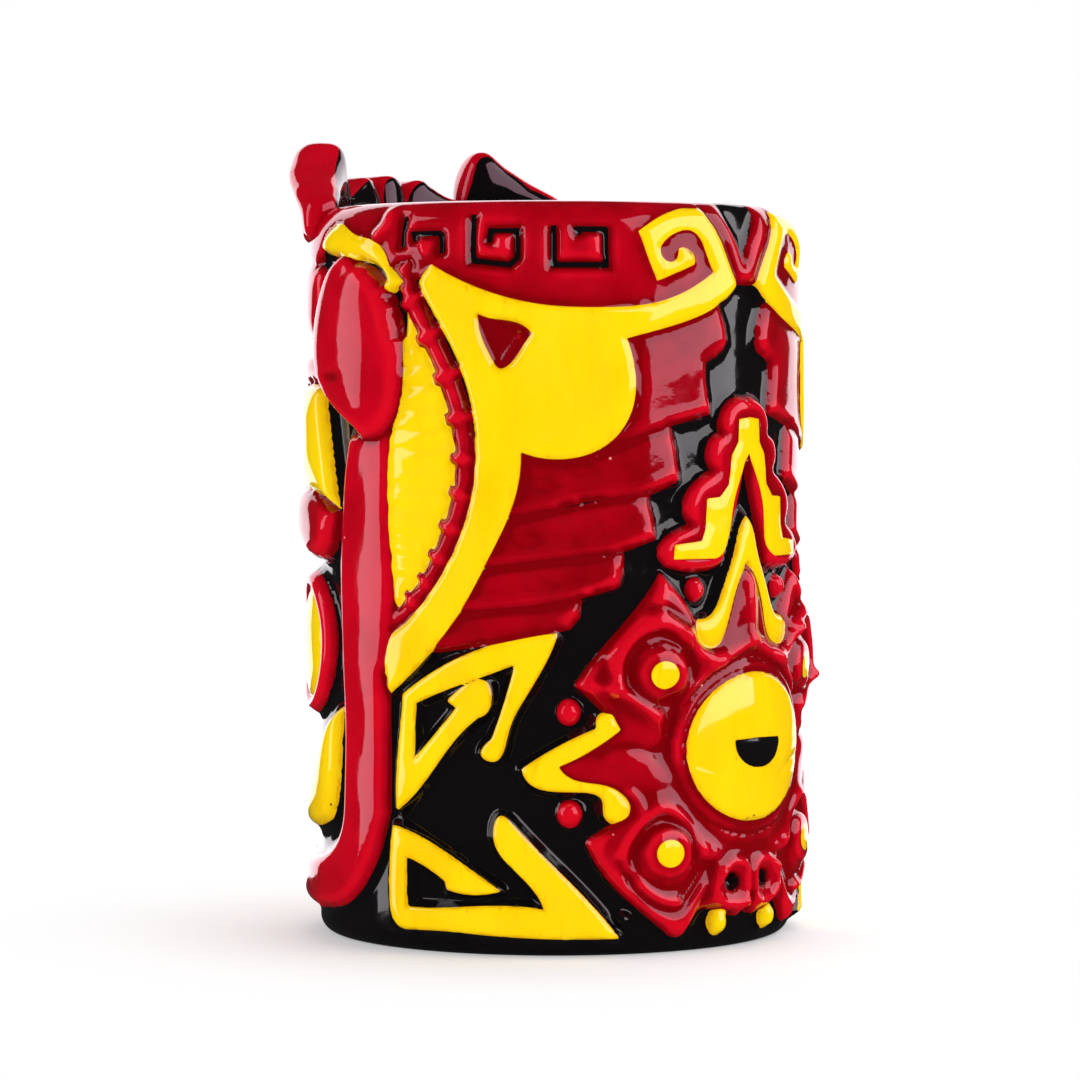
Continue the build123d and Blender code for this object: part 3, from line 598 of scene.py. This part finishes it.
def clip(field):
    """Cut the grid along a field's zero line: points as (row, column) and triangles."""
    rows, cols = field.shape
    number = -np.ones(field.shape, int)
    inside = field > 0
    number[inside] = np.arange(inside.sum())
    places = [np.argwhere(inside).astype(float)]
    count = int(inside.sum())
    cuts = {}

    def cut(kind, a, b):
        """The numbered crossing points on the edges of one kind, from grid points a to b."""
        nonlocal count
        fa, fb = field[a], field[b]
        table = -np.ones(fa.shape, int)
        crossing = (fa > 0) != (fb > 0)
        table[crossing] = count + np.arange(crossing.sum())
        t = (fa[crossing] / (fa[crossing] - fb[crossing]))[:, None]
        start = np.argwhere(crossing).astype(float)
        places.append(start + np.array([a[0].start, a[1].start]) * 1.0 + t * np.array(STEPS[kind]))
        count += int(crossing.sum())
        cuts[kind] = table

    whole, before, after = slice(0, None), slice(0, -1), slice(1, None)
    cut("across", (whole, before), (whole, after))
    cut("up", (before, whole), (after, whole))
    cut("slant", (before, before), (after, after))
    j, i = np.mgrid[0 : rows - 1, 0 : cols - 1]
    busy = inside[:-1, :-1] | inside[1:, :-1] | inside[:-1, 1:] | inside[1:, 1:]
    j, i = j[busy], i[busy]
    a, b, c, d = number[j, i], number[j, i + 1], number[j + 1, i + 1], number[j + 1, i]
    ab, bc = cuts["across"][j, i], cuts["up"][j, i + 1]
    dc, ad = cuts["across"][j + 1, i], cuts["up"][j, i]
    ac = cuts["slant"][j, i]
    triangles = []
    for p, q, r, pq, qr, rp in ((a, b, c, ab, bc, ac), (a, c, d, ac, dc, ad)):
        triangles += triangle_pieces(p, q, r, pq, qr, rp)
    return np.concatenate(places), np.concatenate(triangles)


def triangle_pieces(p, q, r, pq, qr, rp):
    """What is left of some triangles whose outside corners are numbered -1."""
    pieces = []
    turned = (p, q, r, pq, qr, rp), (q, r, p, qr, rp, pq), (r, p, q, rp, pq, qr)
    for x, y, z, xy, yz, zx in turned:
        one = (x >= 0) & (y < 0) & (z < 0)
        pieces.append(np.stack([x, xy, zx], axis=1)[one])
        two = (x >= 0) & (y >= 0) & (z < 0)
        pieces.append(np.stack([x, y, yz], axis=1)[two])
        pieces.append(np.stack([x, yz, zx], axis=1)[two])
    full = (p >= 0) & (q >= 0) & (r >= 0)
    pieces.append(np.stack([p, q, r], axis=1)[full])
    return pieces


def sample(grid, rows, cols):
    """A grid's values at fractional rows and wrapped columns."""
    j = np.clip(np.floor(rows).astype(int), 0, ROWS - 2)
    i = np.floor(cols).astype(int)
    v, u = rows - j, cols - i
    if grid.ndim == 3:
        u, v = u[:, None], v[:, None]
    i0, i1 = i % COLUMNS, (i + 1) % COLUMNS
    low = grid[j, i0] * (1 - u) + grid[j, i1] * u
    high = grid[j + 1, i0] * (1 - u) + grid[j + 1, i1] * u
    return low * (1 - v) + high * v


def regions(faces, fences):
    """Groups of triangles that no fenced edge parts."""
    beside = {}
    for number, face in enumerate(faces):
        for p, q in zip(face, face[1:] + face[:1]):
            beside.setdefault((min(p, q), max(p, q)), []).append(number)
    joined = [[] for _ in faces]
    for pair, members in beside.items():
        if pair not in fences and len(members) == 2:
            joined[members[0]].append(members[1])
            joined[members[1]].append(members[0])
    seen = [False] * len(faces)
    for seed in range(len(faces)):
        if seen[seed]:
            continue
        seen[seed] = True
        region, todo = [], [seed]
        while todo:
            number = todo.pop()
            region.append(faces[number])
            for other in joined[number]:
                if not seen[other]:
                    seen[other] = True
                    todo.append(other)
        yield region


def covers(field, flat, region):
    """Whether a region of triangles lies inside the outline: its area says so, not one point."""
    corners = flat[np.array([face[:3] for face in region])]
    sides = corners[:, 1:] - corners[:, :1]
    area = np.abs(sides[:, 0, 0] * sides[:, 1, 1] - sides[:, 0, 1] * sides[:, 1, 0])
    return (sample_window(field, corners.mean(axis=1)) * area).sum() > 0


# how thickly the red lies, or how worn the brushwork of the yellow is, by the first word of a node
THICK = {
    "feather": 0.5, "rear": 0.4, "tower": 0.4, "mask": 0.5, "eye": 0.45, "rope": 0.25, "rim": 0.35,
    "wing": 0.7, "lower": 1.0, "zigzag": 0.6, "big": 0.5, "chevron": 0.4, "teeth": 0.3,
    "tusks": 0.3,
}
NOSTRILS = np.where(on("rear_mask"), mound(4.1, 12.4, 1.75, 1.7, 1.0), 0)


BACK_EVERY = 7  # grid points between those that carry a sprig's back
BACK_FROM = 1.5  # how far inside the outline those points begin
INSIDE_ONLY, WELD = 1, 1e-7  # for the triangles of a back
QUARTERS = 4
TUCKED = 0.15  # the glaze of the bare wall runs this far under a sprig
TUCK_SLOPE = 0.8


def skin(name, columns, field, depth, sunk=None):
    """A closed piece of the height field: its face, side walls and a back in the cup's wall."""
    places, triangles = clip(field)
    rows, cols = places[:, 0], places[:, 1] + columns[0]
    rim = border(triangles, np.arange(len(places)))
    ring = np.unique(rim)
    spread = np.argwhere(field > BACK_FROM)
    spread = spread[(spread % BACK_EVERY == 0).all(axis=1)].astype(float)
    flat = np.concatenate([places[ring], spread])
    rim_numbers = np.searchsorted(ring, rim)
    result = delaunay_2d_cdt(
        [Vector(p) for p in flat.tolist()], rim_numbers.tolist(), [], INSIDE_ONLY, WELD
    )
    origin = [group[0] if group else None for group in result[3]]
    back = [
        [origin[v] for v in face]
        for region in regions(result[2], set(map(tuple, np.sort(rim_numbers, axis=1))))
        if covers(field, flat, [[origin[v] for v in face] for face in region])
        for face in region
    ]
    start = len(places)
    face = sample(SURFACE, rows, cols)
    if sunk is not None:
        face -= sample(NORMALS, rows, cols) * sample(sunk, rows, cols)[:, None]
    points = np.concatenate([face, sample(SEAT, flat[:, 0], flat[:, 1] + columns[0])])
    normals = np.concatenate(
        [sample(NORMALS, rows, cols), -sample(NORMALS, flat[:, 0], flat[:, 1] + columns[0])]
    )
    faces = triangles[:, ::-1].tolist()
    faces += np.concatenate([rim, start + rim_numbers[:, ::-1]], axis=1).tolist()
    signed = face_sign(flat, back)
    faces += [[start + v for v in (face if keep else face[::-1])] for face, keep in signed]
    behind = np.zeros(len(flat))
    edge = np.append(sample_window(depth, places).clip(0), behind)
    hollow = np.append(sample(HOLLOW, rows, cols), behind)
    dark = np.append(sample(NOSTRILS, rows, cols), behind)
    thick = np.full(len(points), THICK.get(name.split("_")[1], 0.0))
    return new_object(
        name, points, faces, normals, edge=edge, hollow=hollow, dark=dark, thick=thick
    )


def sprig(name):
    """One relief piece."""
    columns, field = fields[name]
    piece = skin(f"glazed_{name}", columns, share_of(name), field)
    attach(piece, "root")
    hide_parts(name)
    return piece


def bare_wall(quarter):
    """The glaze of the bare wall between the sprigs, a quarter of the way round the cup."""
    first, last = (COLUMNS * k // QUARTERS for k in (quarter, quarter + 1))
    columns = np.arange(first, last + 1)
    wrap = columns % COLUMNS
    inward = TUCKED - GROWN - nearest[:, wrap]
    field = np.where(inward > 0, np.maximum(inward, LEAST), np.minimum(inward, -LEAST))
    sunk = TUCK_SLOPE * np.clip(nearest + GROWN / 2, 0, TUCKED)
    piece = skin(f"bare_wall_{quarter + 1}", columns, field, inward, sunk)
    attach(piece, "root")
    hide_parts("mug_body")
    return piece


def face_sign(flat, faces):
    """Each back face with whether its turn already matches a face that looks at the wall."""
    signed = []
    for face in faces:
        (a, b), (c, d), (e, f) = (flat[v] for v in face[:3])
        signed.append((face, (c - a) * (f - b) - (d - b) * (e - a) < 0))
    return signed


def sample_window(field, places):
    """A window's values at fractional rows and columns."""
    rows = np.minimum(np.floor(places[:, 0]).astype(int), field.shape[0] - 2)
    cols = np.minimum(np.floor(places[:, 1]).astype(int), field.shape[1] - 2)
    v, u = places[:, 0] - rows, places[:, 1] - cols
    low = field[rows, cols] * (1 - u) + field[rows, cols + 1] * u
    high = field[rows + 1, cols] * (1 - u) + field[rows + 1, cols + 1] * u
    return low * (1 - v) + high * v


# -------------------- cup

CUP_COLUMNS = 180
CUP_ROWS = 4  # rows of the height field to one of the cup's own wall
CUP_INSET = 0.25  # how far that wall lies inside the seat of the sprigs
LIP_STEPS, BORE_STEPS, ROUND_STEPS, FLOOR_STEPS, FOOT_STEPS = 6, 44, 9, 10, 14
BORE_WAVE = 0.08
BORE_LOBES = 5
BORE_CLIMB = 0.13  # how fast the lobes turn with the height


def profile_rows():
    """Points and normals of the cup's other surfaces: lip, bore and floor, then the foot."""
    inside = []
    lip = LIP_R - BORE_R
    for a in np.linspace(math.pi / 2, math.pi, LIP_STEPS):
        r, z = LIP_R + lip * math.cos(a), RIM_Z - lip + lip * math.sin(a)
        inside.append((r, z, math.cos(a), math.sin(a)))
    for z in np.linspace(RIM_Z - lip, FLOOR_Z + FLOOR_ROUND, BORE_STEPS)[1:-1]:
        inside.append((BORE_R, z, -1.0, 0.0))
    for a in np.linspace(0, -math.pi / 2, ROUND_STEPS):
        r = BORE_R - FLOOR_ROUND + FLOOR_ROUND * math.cos(a)
        z = FLOOR_Z + FLOOR_ROUND + FLOOR_ROUND * math.sin(a)
        inside.append((r, z, -math.cos(a), -math.sin(a)))
    for r in np.linspace(BORE_R - FLOOR_ROUND, 0, FLOOR_STEPS)[1:-1]:
        inside.append((r, FLOOR_Z, 0.0, 1.0))
    flat = np.linspace(0, SEAT_R - FOOT_ROUND, FOOT_STEPS)[1:-1]
    foot = [(r, 0.0, 0.0, -1.0) for r in flat]
    return foot, inside


def cup():
    """The clay cup: its wall below the glaze and the sprigs, with its inside and foot."""
    u = np.arange(CUP_COLUMNS) * 2 * math.pi / CUP_COLUMNS
    foot, inside = profile_rows()
    rows = np.unique(np.append(np.arange(0, ROWS, CUP_ROWS), ROWS - 1))
    inset = CUP_INSET * (1 - (ROLL[rows] == 1))
    wall = np.stack([BASE_R, BASE_Z, NORMAL_R, NORMAL_Z])[:, rows]
    wall[0] -= inset * wall[2]
    wall[1] += np.where(ROLL[rows] == 1, RIM_Z - ROLL_TOP, -inset * wall[3] * (wall[3] > 0))
    profile = foot + [tuple(column) for column in wall.T] + inside
    rings, normals, bare, hollow = [], [], [], []
    for number, (r, z, across, up) in enumerate(profile):
        in_bore = number >= len(foot) + len(rows) and up == 0
        ring = r + BORE_WAVE * in_bore * (np.sin(BORE_LOBES * u + BORE_CLIMB * z) - 1)
        rings.append(np.stack([ring * np.sin(u), ring * np.cos(u), np.full(len(u), z)], axis=1))
        normals.append(
            np.stack([across * np.sin(u), across * np.cos(u), np.full(len(u), up)], axis=1)
        )
        bare.append(np.full(len(u), float(number <= len(foot))))
    bands, count = len(rings), len(u)
    points = np.concatenate(rings + [[(0, 0, 0)], [(0, 0, FLOOR_Z)]])
    first = np.arange(count)
    second = np.roll(first, -1)
    faces = []
    for band in range(bands - 1):
        a, b = band * count, (band + 1) * count
        faces += np.stack([a + second, a + first, b + first, b + second], axis=1).tolist()
    low, high, last = bands * count, bands * count + 1, (bands - 1) * count
    faces += [[low, int(p), int(q)] for p, q in zip(first, second)]
    faces += [[high, last + int(q), last + int(p)] for p, q in zip(first, second)]
    everywhere = np.concatenate(normals + [[(0, 0, -1)], [(0, 0, 1)]])
    clay = np.concatenate(bare + [[1, 0]])
    piece = new_object("cup", points, faces, everywhere, bare=clay, hollow=clay * 0)
    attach(piece, "root")
    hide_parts("mug_body")
    return piece


# -------------------- crest

HORN_SHAPE = (1.2, 110)  # how much fuller, and the passes of smoothing
PEAK_SHAPE = (0.2, 48)
CREST_VOXEL = 0.5
NORMAL_PASSES = 12  # evens the shading out over the remeshed surface


def softened(node, fuller, passes):
    """A crest piece, some way fuller, its edges rounded as in slip-cast clay below a glaze."""
    source = nodes[node].data.copy()
    holder = in_scene("holder", source)
    remesh = holder.modifiers.new("remesh", "REMESH")
    remesh.mode = "VOXEL"
    remesh.voxel_size = CREST_VOXEL * MM
    for name in ("before", "after"):
        smooth = holder.modifiers.new(f"smooth_{name}", "SMOOTH")
        smooth.factor = 0.5
        smooth.iterations = passes // 2
        if name == "before":
            swell = holder.modifiers.new("swell", "DISPLACE")
            swell.strength = fuller * MM
            swell.mid_level = 0
    graph = bpy.context.evaluated_depsgraph_get()
    done = bpy.data.meshes.new_from_object(holder.evaluated_get(graph))
    bpy.data.objects.remove(holder)
    bpy.data.meshes.remove(source)
    return done


def crest_piece(node):
    """One piece of the crest, shaded by normals that are averaged with their neighbours'."""
    mesh = softened(node, *(HORN_SHAPE if "horn" in node else PEAK_SHAPE))
    mesh.name = f"glazed_{node}"
    count = len(mesh.vertices)
    points, normals = np.empty(count * 3), np.empty(count * 3)
    mesh.vertices.foreach_get("co", points)
    mesh.vertices.foreach_get("normal", normals)
    points, normals = points.reshape(-1, 3), normals.reshape(-1, 3)
    ends = np.empty(len(mesh.edges) * 2, int)
    mesh.edges.foreach_get("vertices", ends)
    one, two = ends.reshape(-1, 2).T
    for _ in range(NORMAL_PASSES):
        around = normals.copy()
        np.add.at(around, one, normals[two])
        np.add.at(around, two, normals[one])
        normals = around / np.linalg.norm(around, axis=1, keepdims=True)
    out = points[:, :2] / np.hypot(points[:, 0], points[:, 1])[:, None]
    facing = (normals[:, :2] * out).sum(axis=1)
    for key, values in (("facing", facing), ("hollow", facing * 0)):
        mesh.attributes.new(key, "FLOAT", "POINT").data.foreach_set(
            "value", values.astype(np.float32)
        )
    mesh.polygons.foreach_set("use_smooth", [True] * len(mesh.polygons))
    mesh.normals_split_custom_set_from_vertices(normals.tolist())
    mesh.materials.clear()
    piece = in_scene(f"glazed_{node}", mesh)
    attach(piece, "root")
    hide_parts(node)
    return piece


# -------------------- glazes

class Shader:
    """A Principled material whose node tree is written as short expressions."""

    def __init__(self, name):
        self.material = bpy.data.materials.new(name)
        self.material.use_nodes = True
        self.tree = self.material.node_tree
        self.bsdf = self.tree.nodes["Principled BSDF"]

    def node(self, kind, inputs=(), **settings):
        made = self.tree.nodes.new(kind)
        for key, value in settings.items():
            setattr(made, key, value)
        for key, value in dict(inputs).items():
            self.set(made.inputs[key], value)
        return made

    def set(self, socket, value):
        if isinstance(value, bpy.types.NodeSocket):
            self.tree.links.new(value, socket)
        else:
            socket.default_value = value

    def paint(self, colour):
        self.set(self.bsdf.inputs["Base Color"], colour)

    def value(self, name):
        return self.node("ShaderNodeAttribute", attribute_name=name).outputs["Fac"]

    def noise(self, scale, detail=2.0, rough=0.5, stretch=None):
        place = self.node("ShaderNodeTexCoord").outputs["Object"]
        if stretch:
            place = self.node("ShaderNodeMapping", {"Vector": place, "Scale": stretch}).outputs[0]
        return self.node(
            "ShaderNodeTexNoise",
            {"Vector": place, "Scale": scale, "Detail": detail, "Roughness": rough},
        ).outputs["Fac"]

    def ramp(self, value, low, high, first=0.0, last=1.0):
        return self.node(
            "ShaderNodeMapRange",
            {"Value": value, "From Min": low, "From Max": high, "To Min": first, "To Max": last},
            interpolation_type="SMOOTHSTEP",
        ).outputs["Result"]

    def math(self, operation, a, b=0.0):
        return self.node("ShaderNodeMath", {0: a, 1: b}, operation=operation).outputs[0]

    def mix(self, factor, a, b):
        made = self.node("ShaderNodeMix", data_type="RGBA")
        self.set(made.inputs[0], factor)
        self.set(made.inputs[6], a)
        self.set(made.inputs[7], b)
        return made.outputs[2]

    def bump(self, height, distance, strength=1.0):
        made = self.node(
            "ShaderNodeBump", {"Height": height, "Distance": distance, "Strength": strength}
        )
        return made.outputs["Normal"]


RED = (0.60, 0.0004, 0.012, 1)
# a deeper red: the glaze's own deeper tone, and painted shade in the hollows of the relief
RED_DEEP_AND_SHADE = (0.22, 0.0, 0.002, 1)
# painted highlight on the crowns of the relief
RED_PAINTED_HIGHLIGHT = (0.72, 0.003, 0.016, 1)
RED_SHEEN = (1.0, 0.35, 0.55, 1)
YELLOW = (1.0, 0.66, 0.0008, 1)
YELLOW_PALE = (1.0, 0.72, 0.003, 1)
YELLOW_WARM = (1.0, 0.54, 0.0, 1)
YELLOW_THIN = (0.86, 0.42, 0.002, 1)
SMUDGE = (0.16, 0.11, 0.02, 1)
BLACK = (0.0040, 0.0032, 0.0038, 1)
BLACK_WORN = (0.12, 0.06, 0.05, 1)
CLAY = (0.78, 0.72, 0.62, 1)
RED_SPECK = (0.8, 0.25, 0.2, 1)
BLACK_SPECK = (0.3, 0.27, 0.25, 1)


def gloss(shader, peel=0.00009):
    """The clear, slightly wavy glaze over every colour."""
    bsdf = shader.bsdf
    bsdf.inputs["IOR"].default_value = 1.5
    bsdf.inputs["Specular IOR Level"].default_value = 0.5
    bsdf.inputs["Coat Weight"].default_value = 0.6
    bsdf.inputs["Coat Roughness"].default_value = 0.02
    rough = shader.ramp(shader.noise(420, 3), 0.3, 0.8, 0.05, 0.12)
    shader.set(bsdf.inputs["Roughness"], rough)
    fine = shader.math("MULTIPLY", shader.noise(700, 2), 0.1)
    normal = shader.bump(shader.math("ADD", shader.noise(110, 2), fine), peel)
    shader.set(bsdf.inputs["Normal"], normal)
    shader.set(bsdf.inputs["Coat Normal"], normal)


def specks(shader, colour, tint, scale=210, size=0.09, share=0.2):
    """A few tiny specks, in some of the cells of a fine pattern."""
    place = shader.node("ShaderNodeTexCoord").outputs["Object"]
    cells = shader.node("ShaderNodeTexVoronoi", {"Vector": place, "Scale": scale})
    chosen = shader.node("ShaderNodeSeparateColor", {0: cells.outputs["Color"]}).outputs[0]
    few = shader.math("LESS_THAN", chosen, share)
    dot = shader.ramp(cells.outputs["Distance"], size * 0.6, size, 1.0, 0.0)
    return shader.mix(shader.math("MULTIPLY", few, dot), colour, tint)


def red_glaze():
    shader = Shader("red_glaze")
    # painted shade: the red turns to a deeper red in the hollows of the relief, where shade falls;
    # random clouds and each piece's thickness deepen it too
    outside_painted_shade = shader.ramp(shader.value("hollow"), -0.45, 0.1)
    cloud = shader.ramp(shader.noise(70, 4, 0.6), 0.3, 0.75, 0.0, 0.45)
    depth = shader.math("SUBTRACT", 1.0, shader.math("SUBTRACT", outside_painted_shade, cloud))
    depth = shader.math("ADD", depth, shader.value("thick"))
    colour = shader.mix(depth, RED, RED_DEEP_AND_SHADE)
    # painted highlight: the red is mixed lighter on the crowns and ridges of the relief
    crown = shader.ramp(shader.value("hollow"), 0.12, 0.45, 0.0, 0.8)
    colour = shader.mix(crown, colour, RED_PAINTED_HIGHLIGHT)
    colour = specks(shader, colour, RED_SPECK, 330, 0.1, 0.06)
    colour = shader.mix(shader.ramp(shader.value("dark"), 0.15, 0.45), colour, BLACK)
    shader.paint(colour)
    shader.bsdf.inputs["Specular Tint"].default_value = RED_SHEEN
    gloss(shader)
    return shader


def yellow_glaze():
    shader = Shader("yellow_glaze")
    wander = shader.math("MULTIPLY", shader.math("SUBTRACT", shader.noise(420, 3), 0.5), 0.9)
    edge = shader.math("ADD", shader.value("edge"), wander)
    brush = shader.ramp(shader.noise(150, 5, 0.65, (1, 1, 0.3)), 0.3, 0.75)
    colour = shader.mix(brush, YELLOW, YELLOW_PALE)
    warm = shader.ramp(shader.noise(45, 3), 0.45, 0.75, 0.0, 0.55)
    colour = shader.mix(warm, colour, YELLOW_WARM)
    streaks = shader.ramp(shader.noise(700, 4, 0.7, (1, 1, 0.2)), 0.54, 0.72, 0.0, 0.4)
    thin = shader.math("MULTIPLY", streaks, shader.ramp(edge, 0.3, 2.2, 1.0, 0.25))
    thin = shader.math("MULTIPLY", thin, shader.math("ADD", shader.value("thick"), 0.9))
    colour = shader.mix(thin, colour, YELLOW_THIN)
    smear = shader.ramp(shader.noise(95, 5, 0.7), 0.64, 0.72, 0.0, 0.4)
    smear = shader.math("MULTIPLY", smear, shader.ramp(edge, 0.2, 1.6, 1.0, 0.1))
    smear = shader.math("MULTIPLY", smear, shader.math("ADD", shader.value("thick"), 0.8))
    colour = shader.mix(smear, colour, SMUDGE)
    colour = shader.mix(shader.ramp(edge, 0.02, 0.28, 0.75, 0.0), colour, YELLOW_THIN)
    colour = specks(shader, colour, SMUDGE, 190, 0.09, 0.12)
    shader.paint(colour)
    gloss(shader)
    return shader


def black_glaze(name="black_glaze"):
    shader = Shader(name)
    scratch = shader.ramp(shader.noise(1300, 4, 0.75, (1, 1, 2.5)), 0.63, 0.71)
    patch = shader.ramp(shader.noise(60, 3), 0.48, 0.62)
    wear = shader.math("MULTIPLY", scratch, patch)
    ridge = shader.ramp(shader.value("hollow"), 0.06, 0.3, 0.5, 1.0)
    colour = shader.mix(shader.math("MULTIPLY", wear, ridge), BLACK, BLACK_WORN)
    colour = specks(shader, colour, BLACK_SPECK, 300, 0.08, 0.05)
    shader.paint(colour)
    gloss(shader)
    return shader


def cup_glaze():
    """Black glaze, with the dry foot left as bare clay."""
    shader = black_glaze("cup_glaze")
    glazed = shader.bsdf.inputs["Base Color"].links[0].from_socket
    bare = shader.ramp(shader.value("bare"), 0.4, 0.6)
    shader.paint(shader.mix(bare, glazed, CLAY))
    return shader


def crest_glaze():
    """Red outside and over the edges, black on the side that faces the drink."""
    shader = red_glaze()
    shader.material.name = "crest_glaze"
    glazed = shader.bsdf.inputs["Base Color"].links[0].from_socket
    wander = shader.math("MULTIPLY", shader.math("SUBTRACT", shader.noise(260, 2), 0.5), 0.3)
    facing = shader.math("ADD", shader.value("facing"), wander)
    inner = shader.ramp(facing, -0.72, -0.66, 1.0, 0.0)
    shader.paint(shader.mix(inner, glazed, BLACK))
    return shader


GLAZES = {
    "red_glaze": red_glaze().material,
    "yellow_glaze": yellow_glaze().material,
    "black_glaze": black_glaze().material,
}

for name in SPRIGS:
    sprig(name).data.materials.append(GLAZES[slot_of[name]])
for quarter in range(QUARTERS):
    bare_wall(quarter).data.materials.append(GLAZES["black_glaze"])
cup().data.materials.append(cup_glaze().material)
crest_material = crest_glaze().material
for name in CREST_PARTS:
    crest_piece(name).data.materials.append(crest_material)


# -------------------- camera, floor and lights

CAMERA_TURN = math.radians(49)  # from the rear centre line towards +X
CAMERA_AWAY = 0.811
CAMERA_HEIGHT = 0.102
AIM_HEIGHT = 0.073
LENS = 143.9
SENSOR = 36
LIT_HEIGHT = 0.07  # where the softboxes point
AXIS_OFFSET = -15 / 1080  # the mug stands a little right of the picture's middle


def at(turn, away, up):
    """A point by its angle from the camera's side (to the right is positive), in metres."""
    u = CAMERA_TURN - math.radians(turn)
    return Vector((away * math.sin(u), away * math.cos(u), up))


def aim(obj, target):
    obj.rotation_euler = (Vector(target) - obj.location).to_track_quat("-Z", "Y").to_euler()


camera = in_scene("camera", bpy.data.cameras.new("camera"))
camera.location = at(0, CAMERA_AWAY, CAMERA_HEIGHT)
camera.data.lens = LENS
camera.data.sensor_width = SENSOR
camera.data.shift_x = AXIS_OFFSET
camera.data.clip_start = 0.01
aim(camera, (0, 0, AIM_HEIGHT))
bpy.context.scene.camera = camera


WHITE = (1, 1, 1, 1)
SOFTBOX_TINT = (1.0, 0.94, 0.99)


def softbox(name, turn, away, up, size, power, glossy):
    light = bpy.data.lights.new(name, "AREA")
    light.shape = "RECTANGLE"
    light.size, light.size_y = size
    light.energy = power
    light.color = SOFTBOX_TINT if glossy else WHITE[:3]
    lamp = in_scene(name, light)
    lamp.location = at(turn, away, up)
    lamp.visible_camera = False
    lamp.visible_glossy = glossy
    aim(lamp, (0, 0, LIT_HEIGHT))


def watts(radiance, size):
    """The power of a softbox of some size that looks as bright as radiance, all over."""
    return radiance * math.pi * size[0] * size[1]


for name, turn, away, up, size, radiance, glossy in (
    ("softbox_right", 70, 1.1, 0.62, (1.4, 1.2), 2.1, True),
    ("softbox_left", -86, 1.1, 0.4, (0.48, 1.2), 1.9, True),
    ("back_panel", 180, 1.2, 0.42, (2.3, 1.2), 1.7, True),
    ("overhead", 150, 0.5, 1.2, (1.4, 1.0), 1.8, False),
    ("fill", 4, 1.4, 0.55, (1.3, 1.0), 1.7, False),
    ("fill_left", -55, 1.4, 0.35, (1.0, 1.0), 3.0, False),
    ("fill_right", 60, 1.4, 0.35, (1.0, 1.0), 0.9, False),
):
    softbox(name, turn, away, up, size, watts(radiance, size), glossy)

# a white background for the camera, and a faint even light for everything else
AMBIENT = 0.02
world = bpy.data.worlds.new("studio")
world.use_nodes = True
bpy.context.scene.world = world
tree = world.node_tree
tree.nodes.clear()
seen = tree.nodes.new("ShaderNodeLightPath")
pale, dim = tree.nodes.new("ShaderNodeBackground"), tree.nodes.new("ShaderNodeBackground")
pale.inputs["Color"].default_value = WHITE
dim.inputs["Color"].default_value = WHITE
dim.inputs["Strength"].default_value = AMBIENT
either, out = tree.nodes.new("ShaderNodeMixShader"), tree.nodes.new("ShaderNodeOutputWorld")
tree.links.new(seen.outputs["Is Camera Ray"], either.inputs[0])
tree.links.new(dim.outputs[0], either.inputs[1])
tree.links.new(pale.outputs[0], either.inputs[2])
tree.links.new(either.outputs[0], out.inputs["Surface"])

# a floor that fades from the mug's contact shadow into the white of the background
FLOOR_R = 1.0
FLOOR_SIDES = 96
FADE_FROM, FADE_TO = 0.045, 0.115  # from the mug's axis
floor_mesh = bpy.data.meshes.new("floor")
turns = np.linspace(0, 2 * math.pi, FLOOR_SIDES, endpoint=False)
rim = [(FLOOR_R * math.cos(a), FLOOR_R * math.sin(a), 0) for a in turns]
floor_mesh.from_pydata(rim, [], [list(range(FLOOR_SIDES))])
floor = in_scene("floor", floor_mesh)
floor.visible_glossy = False
ground = Shader("floor")
place = ground.node("ShaderNodeTexCoord").outputs["Object"]
away = ground.node("ShaderNodeVectorMath", {0: place}, operation="LENGTH").outputs["Value"]
sweep = ground.ramp(away, FADE_FROM, FADE_TO, 0.3, 1.0)
base = ground.ramp(away, FADE_FROM, FADE_TO, 0.75, 0.0)
ground.paint(ground.mix(base, (0, 0, 0, 1), WHITE))
ground.bsdf.inputs["Roughness"].default_value = 0.8
ground.bsdf.inputs["Specular IOR Level"].default_value = 0.0
ground.bsdf.inputs["Emission Color"].default_value = WHITE
ground.set(ground.bsdf.inputs["Emission Strength"], sweep)
floor_mesh.materials.append(ground.material)
floor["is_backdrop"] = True

bpy.context.scene.view_settings.view_transform = "Standard"

visual_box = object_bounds()
boxes = {"cad": cad_box, "visual": visual_box}
{k: [list(map(float, corner)) for corner in v] for k, v in boxes.items()}
